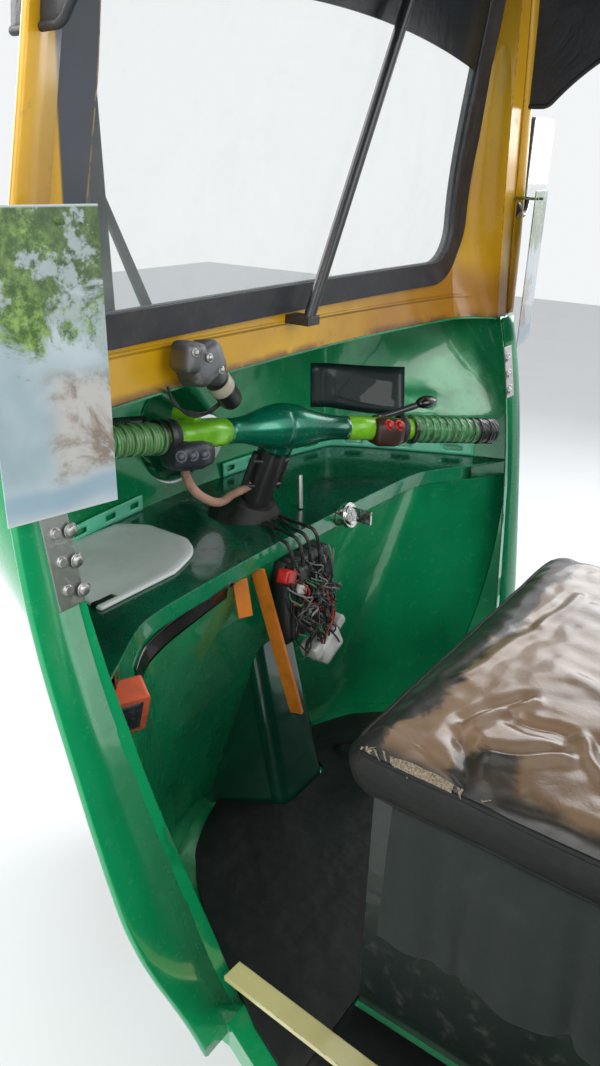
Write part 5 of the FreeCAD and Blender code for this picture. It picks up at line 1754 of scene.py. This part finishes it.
def make_buttons():
    """Red buttons on the right pod and slate ones on the left, facing the driver."""
    turn = steer_matrix().to_3x3()
    facing = (turn @ Vector((-1, -0.1, 0.62))).normalized()
    places = beside_bar(-1, *((along, -19.5, 9.5) for along in (156, 173)))
    reds = [(place, facing, 0.006, 0.005) for place in places]
    studs("pod_buttons_right", reds, "red", "steering", sides=0)
    facing = (turn @ Vector((-1, 0.2, 0.35))).normalized()
    places = beside_bar(1, *((along, -35.4, -16) for along in (158, 176, 194)))
    greys = [(place, facing, 0.0052, 0.0026) for place in places]
    studs("pod_buttons_left", greys, "slate_plastic", "steering", sides=0)


def make_brake_lever():
    """Curved brake lever with its round knob."""
    knob = at(14, -246, 936)
    rod = beside_bar(-1, (150, 12, 6), (168, 34, 8), (190, 48, 6))
    rod += [knob + Vector((0.004, 0.01, -0.002)), knob]
    put_tubes("brake_lever", [rod], 0.0052, "black", 4, "steering")
    rings = []
    lean = Vector((-0.25, -1, 0)).normalized()
    side, rise = square_to(lean)
    for number in range(13):
        angle = pi * (number + 0.3) / 12.6
        centre = knob - lean * (0.02 * cos(angle))
        rings.append(circle(centre, side * 0.0125, rise * 0.0095, sin(angle), 24))
    put(swept("brake_lever_knob", rings, "gloss_black"), "steering")


def make_controls():
    """Cover, castings, pods, buttons, bands, loom, brake lever and cables of the handlebar."""
    make_bar_cover()
    bar_ring("strap_left", 1)
    bar_ring("ring_right", -1)
    make_castings()
    make_buttons()
    loom = beside_bar(
        1, (176, -14, -34), (172, -16, -54), (148, -16, -78), (108, -10, -96)
    )
    loom += [axis_spot(832, 52, -10), axis_spot(836, 32, -6), axis_spot(842, 18, 0)]
    put_tubes("loom_hose", [loom], 0.006, "sheath", 5, "steering", ("loom_sheath",))
    make_brake_lever()
    stays = [
        [axis_spot(836, across), axis_spot(866, across), axis_spot(894, across * 0.92)]
        for across in (-CABLE_ACROSS, CABLE_ACROSS)
    ]
    put_tubes("column_cables", stays, 0.0052, "column", 4, "steering")
    clips = []
    for height in (842, 882):
        for face in (1, -1):
            clips.append([
                axis_spot(height, -CABLE_ACROSS, face * 3), axis_spot(height, 0, face * 20),
                axis_spot(height, CABLE_ACROSS, face * 3),
            ])
    put_tubes("column_clips", clips, 0.0032, "column", 3, "steering")


# Wiring


def loose_path(rng, start, end, sag, wander, count=6):
    """A line that hangs and wanders between two held points."""
    line = []
    for i in range(count + 1):
        share = i / count
        p = start.lerp(end, share)
        weight = 4 * share * (1 - share)
        p = p + Vector((
            rng.uniform(-wander, wander) * weight,
            rng.uniform(-wander, wander) * weight,
            -sag * weight + rng.uniform(-wander, wander) * weight * 0.5,
        ))
        line.append(p)
    return line


# Furthest forward, in x of the row frame, that a wire of the tangle bends between its two ends.
TANGLE_FRONT = 0.638


def make_wiring():
    """Connectors, relay and the tangle of thin wires under the tray's lip, with the cables that feed it."""
    rng = random.Random(11)
    groups = {name: [] for name in WIRE_COLOURS}
    order = ["wire_" + word for word in ("black", "black", "grey", "red", "black", "green", "black", "grey")]
    for number in range(64):
        start = at(rng.uniform(30, 44), rng.uniform(-40, 84), rng.uniform(712, 764))
        end = at(rng.uniform(24, 40), rng.uniform(-60, 46), rng.uniform(590, 700))
        line = loose_path(rng, start, end, rng.uniform(-0.006, 0.014), 0.021, count=7)
        line = [Vector((min(p.x, TANGLE_FRONT), p.y, p.z)) for p in line]
        groups[order[number % len(order)]].append([start, *line[1:-1], end])
    for name, lines in groups.items():
        put_tubes(name + "_tangle", lines, sizes().wire, name, 2, "cab")
    holders = blocks("fuse_holders", [
        ((48, 30, 742), (30, 44, 24), 3, (8, 6, 10)),
        ((50, -10, 728), (28, 36, 30), 3, (-12, 4, -8)),
        ((52, 24, 700), (30, 34, 22), 3, (14, -6, 4)),
        ((52, -24, 690), (26, 40, 26), 3, (-20, 8, 0)),
        ((54, 2, 664), (30, 46, 30), 3, (18, 0, 8)),
        ((54, -40, 650), (26, 30, 22), 3, (-30, 5, 0)),
        ((70, 0, 690), (34, 100, 130), 4, (0, 0, 0)),
    ], "fuses")
    put(holders, "cab", ("fuse_box",))
    relay = blocks("relay_case", [
        ((40, -26, 600), (36, 50, 38), 4, (-22, 6, 0)),
        ((40, 4, 604), (32, 20, 22), 2, (-22, 6, 0)),
    ], "white")
    put(relay, "cab")
    reds = blocks("red_connector", [
        ((40, 72, 752), (18, 30, 20), 2, (24, 0, 10)),
        ((36, -6, 706), (12, 16, 12), 2, (10, 0, 0)),
        ((38, -34, 676), (14, 12, 20), 2, (-16, 0, 0)),
    ], "red")
    put(reds, "cab")
    pales = blocks("pale_connectors", [
        ((40, -58, 622), (18, 26, 16), 2, (-30, 0, 0)),
        ((36, 46, 724), (14, 20, 14), 2, (20, 0, 0)),
        ((36, 14, 678), (12, 20, 14), 2, (-14, 0, 0)),
    ], "white")
    put(pales, "cab")
    feeds = []
    for y0, y1, bend in ((18, 40, 8), (2, 22, -6), (-12, 0, 4), (30, 62, -4)):
        feeds.append([
            at(118, y0, 794), at(104, y0 + bend, 794.5), at(84, (y0 + y1) / 2, 795),
            at(62, y1, 798), at(44, y1 + 2, 797), at(37, y1, 776), at(40, y1 - 6, 740),
        ])
    put_tubes("feed_cables", feeds, 0.0026, "wire_black", 3, "cab")
    post = [at(116, -62, 791), at(119, -65, 815), at(124, -70, 840)]
    put_tubes("tray_post", [post], 0.004, "zinc", 4, "cab")
    motor_leads = []
    for number in range(4):
        side = number * 3
        motor_leads.append([
            at(64, 172 - side, 1016), at(70, 190 - side, 1000), at(80, 214, 1006 - side),
            at(78, 244, 1020 + side), at(64, 262, 1046),
        ])
    put_tubes("wiper_leads", motor_leads, sizes().wire, "wire_black", 2, "cab")


def make_wiper_motor():
    """Cast gear case with its lobes and screws, and the black can that leans from it."""
    case = blocks("wiper_gear_case", [
        ((50, 226, 1068), (40, 50, 40), 10, (-18, 8, 0)),
        ((48, 246, 1078), (34, 30, 34), 9, (10, 0, 0)),
        ((50, 212, 1058), (36, 22, 36), 10, (-40, 0, 0)),
        ((42, 236, 1058), (20, 26, 18), 6, (0, 0, 0)),
    ], "cast")
    put(case, "cab", ("wiper_motor",))
    start = at(50, 216, 1066)
    tip = at(60, 158, 1008)
    ahead = (tip - start).normalized()
    side, rise = square_to(ahead)
    profile = (
        (0, 10), (0.02, 14.6), (0.1, 15.4), (0.12, 14.4), (0.42, 14.4), (0.44, 15.2), (0.62, 15.2),
        (0.64, 14.4), (0.86, 14.2), (0.93, 12.6), (0.95, 7), (0.99, 6.4), (1, 3),
    )
    rings = [circle(start.lerp(tip, share), side, rise, radius * MM, 32) for share, radius in profile]
    put(swept("wiper_motor_can", rings, "motor"), "cab")
    studs("wiper_screws", [
        (at(*place), (-1, 0, 0.15), 0.0034, 0.003)
        for place in ((30, 232, 1078), (30, 214, 1062), (32, 252, 1086))
    ], "zinc", "cab")


def make_meter():
    """Dark screen in the meter's frame."""
    turn = Matrix.Rotation(radians(-24), 4, "Z") @ Matrix.Rotation(radians(-24), 4, "Y")
    stand = Matrix.Translation(at(8, 405, 738)) @ turn
    bm = soft_block((-0.0152, -0.0165, -0.0245), (-0.0135, 0.0165, 0.0245), 0.0008, 0.004)
    bmesh.ops.transform(bm, matrix=stand, verts=bm.verts)
    put(from_bmesh("meter_screen", bm, "screen"), "cab")


# Fasteners and trim


# Side of the nose: height, door edge x and y, shoulder x and y, bulge between them.
SIDE_ROWS = ((318, -118, 398, 120, 270, 0.14), (520, -82, 438, 178, 296, 0.17),
             (760, -47, 489, 252, 344, 0.2), (1040, 2, 500, 286, 362, 0.2))
# Share of the bulge that is taken out, and the depth inside the skin over which that fades.
FLATTEN = 0.88
INNER_REACH = 0.15
# Height in mm where the drawing-in ends, and how far below it the side is drawn in fully.
SIDE_TOP = 1060
SIDE_FADE = 200
# Drawn-in sheets: longest edge, bend from which an edge is shaded sharp, and gap that is welded.
SHEET_EDGE = 0.03
SHEET_CREASE = radians(28)
SHEET_WELD = 0.00002
# Tray's top, height of its upstand, and thickness of thin sheet and of the blank strip and the sheet that
# paints the recess's shade.
TRAY_TOP = 0.5
UPSTAND = 0.024
SHEET = 0.0022
STRIP = 0.002


def drawn_in(point):
    """Where a point of the nose goes when the side's bulge is taken nearly flat."""
    height = point.z / MM - SHIFT.z
    ex, ey, sx, sy, bulge = column_values(SIDE_ROWS, height)
    side = copysign(1, point.y)
    edge = Vector(((ex + SHIFT.x) * MM, ey * MM))
    chord = Vector(((sx - ex) * MM, (sy - ey) * MM))
    long = chord.length
    along = chord / long
    out = Vector((-along.y, along.x))
    away = Vector((point.x, abs(point.y))) - edge
    share = away.dot(along) / long
    if not 0 < share < 1:
        return point.copy()
    swell = bulge * long * 4 * share * (1 - share)
    weight = min(1, max(0, (away.dot(out) + INNER_REACH) / (INNER_REACH + swell)))
    weight = weight * weight * (3 - 2 * weight)
    fade = min(1, max(0, (SIDE_TOP - height) / SIDE_FADE))
    step = out * (-FLATTEN * swell * weight * fade)
    return Vector((point.x + step.x, point.y + side * step.y, point.z))


def make_panels():
    """Nose, knee, tray and mat sheets with the side drawn in, as the door edge shows it."""
    for node, name, slot in (
        ("nose_panel", "nose_sheet", "green_paint"), ("knee_panel", "knee_sheet", "green_paint"),
        ("dash_tray", "tray_sheet", "tray_green"), ("floor_mat", "mat_sheet", "mat_rubber"),
    ):
        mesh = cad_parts[node].data.copy()
        mesh.name = name
        bm = bmesh.new()
        bm.from_mesh(mesh)
        bmesh.ops.remove_doubles(bm, verts=bm.verts, dist=SHEET_WELD)
        for _ in range(3):
            long = [edge for edge in bm.edges if edge.calc_length() > SHEET_EDGE]
            bmesh.ops.subdivide_edges(bm, edges=long, cuts=1)
            bmesh.ops.triangulate(bm, faces=[face for face in bm.faces if len(face.verts) > 4])
        for vert in bm.verts:
            vert.co = drawn_in(vert.co)
        bmesh.ops.triangulate(bm, faces=bm.faces)
        bm.to_mesh(mesh)
        bm.free()
        piece = placed(name, mesh, None)
        mesh.set_sharp_from_angle(angle=SHEET_CREASE)
        put(piece, "cab", (node,))


# Door-edge band: radius of its rolled bead, then height and distance that it stands out, over the
# nose and over the pillar.
BEAD = 0.0038
NOSE_BAND = ((321, 24), (520, 50), (760, 22), (1037, 11))
PILLAR_BAND = ((1043, 11), (1115, 28), (1440, 24), (1606, 14))
# Door edge where no ray finds it: height, x and half width. A hit further off isn't the edge.
EDGE_TRUST = 0.02
EDGE_GUESS = (
    *(row[:3] for row in SIDE_ROWS), (1115, 0, 482), (1440, -12, 421), (1610, -14, 392),
)


def door_edge(trees, height, side):
    """Rear face and outer side of the door's edge at a height, in metres."""
    z = (height + SHIFT.z) * MM
    back, half = column_values(EDGE_GUESS, height)
    back = (back + SHIFT.x) * MM
    half = half * MM
    hit = struck(trees, Vector((-0.2, side * (half - 0.008), z)), Vector((1, 0, 0)))
    x = hit.x if hit and abs(hit.x - back) < EDGE_TRUST else back
    hit = struck(trees, Vector((x + 0.004, side * 0.9, z)), Vector((0, -side, 0)))
    y = abs(hit.y) if hit and abs(abs(hit.y) - half) < EDGE_TRUST else half
    return x, y


def make_band(name, node, widths, side, inside, material):
    """Folded sheet band along the door's edge, with a rolled bead at its outer side."""
    trees = surface(node)
    rings = []
    steps = 56
    for i in range(steps + 1):
        height = widths[0][0] + (widths[-1][0] - widths[0][0]) * i / steps
        wide = float(np.mean([column_values(widths, height + shift) for shift in range(-60, 61, 20)])) * MM
        x, y = door_edge(trees, height, side)
        z = (height + SHIFT.z) * MM
        outline = [(-0.0026, -inside), (-0.0004, -inside), (-0.0004, wide - 0.003)]
        for number in range(9):
            angle = radians(-60 + 30 * number)
            outline.append((0.0008 + BEAD * cos(angle), wide + BEAD * sin(angle)))
        outline.append((-0.0026, wide - 0.004))
        rings.append([Vector((x + a, side * (y + b), z)) for a, b in outline])
    put(swept(name, rings, material), "cab")


def make_trim():
    """Door-edge bands, the tray's upstand and plate, mats and the blank strip under the lip."""
    for side, word in SIDES:
        make_band("door_band_" + word, "nose_panel", NOSE_BAND, side, 0.03, "green")
        make_band(
            "pillar_band_" + word, "windscreen_surround", PILLAR_BAND, side, 0.004, "yellow"
        )
    make_panels()
    make_upstand()
    make_plate()
    make_strip()
    make_recess()
    mats = [
        ((-368, side * 338, 335.5), (300, 118, 5), 2, (0, 0, 0)) for side, _ in SIDES
    ]
    put(blocks("side_mats", mats, "mat"), "cab")


def make_upstand():
    """Low slotted edge along the far side of the tray."""
    trees = surface("nose_panel", "headlamp")
    foot_z = TRAY_TOP + 0.0004
    for side, word in SIDES:
        foot = []
        for i in range(97):
            angle = radians(96 - 72 * i / 96)
            start = Vector((0.69, 0, foot_z + UPSTAND / 2))
            ahead = Vector((cos(angle), side * sin(angle), 0))
            hit = struck(trees, start, ahead)
            if hit and (hit - start).length < 0.55:
                foot.append(drawn_in(start + ahead * ((hit - start).length - 0.006)))
        points = [Vector((p.x, p.y, foot_z + UPSTAND * k / 6)) for k in range(7) for p in foot]
        count = len(foot)
        whole = [
            face for face in quads(7, count)
            if not (face[0] // count in (2, 3) and face[0] % count % 14 in range(4, 9))
        ]
        wall = new_piece("tray_upstand_" + word, points, whole, "mint")
        put(thicken(wall, SHEET), "cab")


def make_plate():
    """Worn pale plate with its tongue, lying in the tray."""
    outline = []
    centre = Vector((0.807, 0.222, 0))
    for angle in turns(72):
        reach = 0.098 + 0.003 * sin(angle * 3 + 0.6) + 0.002 * sin(angle * 7)
        p = centre + Vector((cos(angle), sin(angle), 0)) * reach
        pull = max(0, cos(angle - radians(148))) ** 5
        p += Vector((-0.036, 0.052, 0)) * pull
        p.x = min(max(p.x, 0.7085), 0.8795)
        p.y = min(max(p.y, 0.131), 0.3665)
        outline.append(p)
    rings = []
    steps = (
        (0.0004, 0.0015), (0.0012, 0), (0.004, 0), (0.0052, 0.0025), (0.005, 0.012), (0.0042, 0.016),
    )
    for lift, inset in steps:
        ring = []
        for p in outline:
            away = (centre - p).normalized()
            ring.append(Vector((p.x + away.x * inset, p.y + away.y * inset, TRAY_TOP + lift)))
        rings.append(ring)
    put(swept("tray_plate_worn", rings, "plate"), "cab", ("tray_plate",))


def make_strip():
    """Blank dark strip on the knee panel under the tray's lip: partly the black ground of a sticker and
    partly painted shadow under the lip.
    """
    trees = surface("knee_panel", "dash_tray")
    rows = []
    for i in range(49):
        share = i / 48
        y = (372 + (156 - 372) * share) * MM
        middle = (731 + (757 - 731) * share + SHIFT.z) * MM
        row = []
        for k in range(7):
            z = middle + (k / 6 - 0.5) * 0.03
            hit = struck(trees, Vector((0.3, y, z)), Vector((1, 0, 0)))
            row.append(drawn_in(hit or Vector((0.66, y, z))))
        rows.append(row)
    points = [[p - Vector((SHEET, 0, 0)) for p in row] for row in rows]
    put(thicken(grid_piece("blank_strip", points, "gloss_black"), STRIP), "cab")


def make_recess():
    """Dark sheet on the nose's inner wall, behind the right of the handlebar: painted shade of the recess
    there.
    """
    trees = surface("nose_panel")
    corners = [
        at(300, y, z) for y, z in ((-342, 938), (-698, 880), (-713, 779), (-346, 856))
    ]
    rows = []
    for i in range(13):
        row = []
        for k in range(7):
            top = corners[0].lerp(corners[1], i / 12)
            low = corners[3].lerp(corners[2], i / 12)
            ahead = (top.lerp(low, k / 6) - PHOTO_EYE).normalized()
            hit = struck(trees, PHOTO_EYE, ahead)
            place = drawn_in(hit or PHOTO_EYE + ahead * 1.2)
            row.append(place - ahead * (0.004 if 0 < k < 6 and 0 < i < 12 else 0.0012))
        rows.append(row)
    put(thicken(grid_piece("nose_cover_plate", rows, "recess_shade"), STRIP), "cab")


def make_fasteners():
    """Rivets of the door brackets."""
    studs("door_bracket_rivets", [
        (at(-32 + 0.2 * (z - 900), side * 470, z), (-1, 0, 0), 0.005, 0.003)
        for side in (-1, 1) for z in (918, 945, 972)
    ], "zinc", "cab", sides=0)


# Stage


def world_light():
    """Pale surroundings: full white to the camera and in gloss, softer as light."""
    world = bpy.data.worlds.new("soft_room")
    bpy.context.scene.world = world
    room = Nodes(world)
    seen = room.add("LightPath", out="Is Camera Ray")
    for ray in ("Is Transmission Ray", "Is Glossy Ray"):
        seen = seen.most(room.add("LightPath", out=ray))
    pale = room.add("Background", out="Background", Color=(0.9, 0.92, 0.93), Strength=1)
    soft = room.add("Background", out="Background", Color=(0.95, 0.98, 1), Strength=0.75)
    both = room.add("MixShader", out="Shader", Fac=seen, Shader=soft, Shader_001=pale)
    room.add("OutputWorld", Surface=both)


def lamp(name, place, target, size, power, colour=(1, 1, 1)):
    """A soft square lamp that looks at a point."""
    data = bpy.data.lights.new(name, "AREA")
    data.energy = power
    data.size = size
    data.color = colour
    light = linked(name, data)
    light.location = place
    light.rotation_euler = (Vector(target) - Vector(place)).to_track_quat("-Z", "Y").to_euler()


def photo_camera():
    """Camera at the photograph's viewpoint."""
    yaw = radians(54.6)
    pitch = radians(23.8)
    roll = radians(1.5)
    ahead = Vector((cos(pitch) * cos(yaw), -cos(pitch) * sin(yaw), -sin(pitch)))
    right, up = square_to(ahead)
    right_rolled = right * cos(roll) + up * sin(roll)
    up_rolled = up * cos(roll) - right * sin(roll)
    data = bpy.data.cameras.new("photo_view")
    data.sensor_width = 36
    data.lens = 28.47
    data.clip_start = 0.02
    camera = linked("photo_view", data)
    turn = Matrix((right_rolled, up_rolled, -ahead)).transposed().to_4x4()
    camera.matrix_world = Matrix.Translation(PHOTO_EYE) @ turn
    bpy.context.scene.camera = camera


def floor_finish():
    """Pale floor that keeps the shadow."""
    f = Finish("pale_floor")
    speck = f.grain(3, 3)
    paint = f.mix((0.74, 0.75, 0.76), (0.7, 0.71, 0.72), speck)
    return f.shader(paint, 0.75 + speck * 0.1)


def make_stage():
    """Floor, lamps, surroundings and camera."""
    lines = range(-8, 9, 2)
    rows = [[Vector((x, y, GROUND_Z)) for y in lines] for x in lines]
    FINISHES["floor"] = floor_finish()
    floor = grid_piece("studio_floor", rows, "floor")
    world_light()
    lamp("key_left", (0.2, 2.6, 2.2), (0.4, 0, 0.4), 2.2, 60, (1, 0.98, 0.95))
    lamp("front_fill", (3.2, 0.6, 1.8), (0.5, 0, 0.6), 2, 55)
    lamp("right_fill", (0.2, -2.6, 1.8), (0.4, 0, 0.4), 2, 45, (0.96, 0.98, 1))
    lamp("rear_fill", (-2.4, 0.3, 2), (0.3, 0, 0.7), 2, 35)
    photo_camera()
    scene = bpy.context.scene
    scene.view_settings.view_transform = "Standard"


# Operators


class CAB_OT_paint(bpy.types.Operator):
    """Give the CAD nodes in the finish table their finishes"""

    bl_idname = "cab.paint"
    bl_label = "Paint the CAD nodes"

    def execute(self, context):
        FINISHES.update(make_finishes())
        for node, name in NODE_FINISH.items():
            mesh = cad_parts[node].data
            mesh.materials.clear()
            mesh.materials.append(FINISHES[name])
        return {"FINISHED"}


class CAB_OT_seat(bpy.types.Operator):
    """Make the seat cushion, its skirt and the back pad"""

    bl_idname = "cab.seat"
    bl_label = "Seat"

    def execute(self, context):
        make_seat()
        make_skirt()
        make_backrest()
        return {"FINISHED"}


class CAB_OT_canopy(bpy.types.Operator):
    """Stretch the canopy cloth over its bows"""

    bl_idname = "cab.canopy"
    bl_label = "Canopy"

    def execute(self, context):
        make_canopy()
        return {"FINISHED"}


class CAB_OT_wheel(bpy.types.Operator):
    """Cut the tyre's tread"""

    bl_idname = "cab.wheel"
    bl_label = "Front tyre"

    def execute(self, context):
        make_tyre()
        return {"FINISHED"}


class CAB_OT_controls(bpy.types.Operator):
    """Dress the handlebar with its cover, castings, pods, bands, levers and cables"""

    bl_idname = "cab.controls"
    bl_label = "Handlebar controls"

    def execute(self, context):
        make_controls()
        return {"FINISHED"}


class CAB_OT_wiring(bpy.types.Operator):
    """Lay the thin wires and cables, and set the fuse holders, wiper motor and meter's screen"""

    bl_idname = "cab.wiring"
    bl_label = "Wiring"

    def execute(self, context):
        make_wiring()
        make_wiper_motor()
        make_meter()
        return {"FINISHED"}


class CAB_OT_trim(bpy.types.Operator):
    """Fold the door-edge bands and draw the nose's sheets in, with the tray's upstand, plate and mats"""

    bl_idname = "cab.trim"
    bl_label = "Sheet trim"

    def execute(self, context):
        make_trim()
        return {"FINISHED"}


class CAB_OT_fasteners(bpy.types.Operator):
    """Set the rivets of the door brackets"""

    bl_idname = "cab.fasteners"
    bl_label = "Fasteners"

    def execute(self, context):
        make_fasteners()
        return {"FINISHED"}


class CAB_OT_stage(bpy.types.Operator):
    """Set the floor, the lamps and the camera"""

    bl_idname = "cab.stage"
    bl_label = "Studio stage"

    def execute(self, context):
        make_stage()
        return {"FINISHED"}


OPERATORS = (
    CAB_OT_paint, CAB_OT_seat, CAB_OT_canopy, CAB_OT_wheel, CAB_OT_controls, CAB_OT_wiring,
    CAB_OT_trim, CAB_OT_fasteners, CAB_OT_stage,
)


class CAB_PT_panel(bpy.types.Panel):
    """Buttons for each group of the cab"""

    bl_label = "Taxi cab"
    bl_idname = "CAB_PT_panel"
    bl_space_type = "VIEW_3D"
    bl_region_type = "UI"
    bl_category = "Cab"

    def draw(self, context):
        for group in (context.scene.cab_sizes, context.scene.cab_colours):
            for name in group.__annotations__:
                self.layout.prop(group, name)
        for operator in OPERATORS:
            self.layout.operator(operator.bl_idname)


CLASSES = (CabColours, CabSizes, *OPERATORS, CAB_PT_panel)


def register():
    for item in CLASSES:
        bpy.utils.register_class(item)
    bpy.types.Scene.cab_colours = bpy.props.PointerProperty(type=CabColours)
    bpy.types.Scene.cab_sizes = bpy.props.PointerProperty(type=CabSizes)


def unregister():
    del bpy.types.Scene.cab_sizes
    del bpy.types.Scene.cab_colours
    for item in reversed(CLASSES):
        bpy.utils.unregister_class(item)


def main():
    register()
    for operator in OPERATORS:
        group, name = operator.bl_idname.split(".")
        getattr(getattr(bpy.ops, group), name)()
    bpy.context.view_layer.update()


if __name__ == "__main__":
    main()
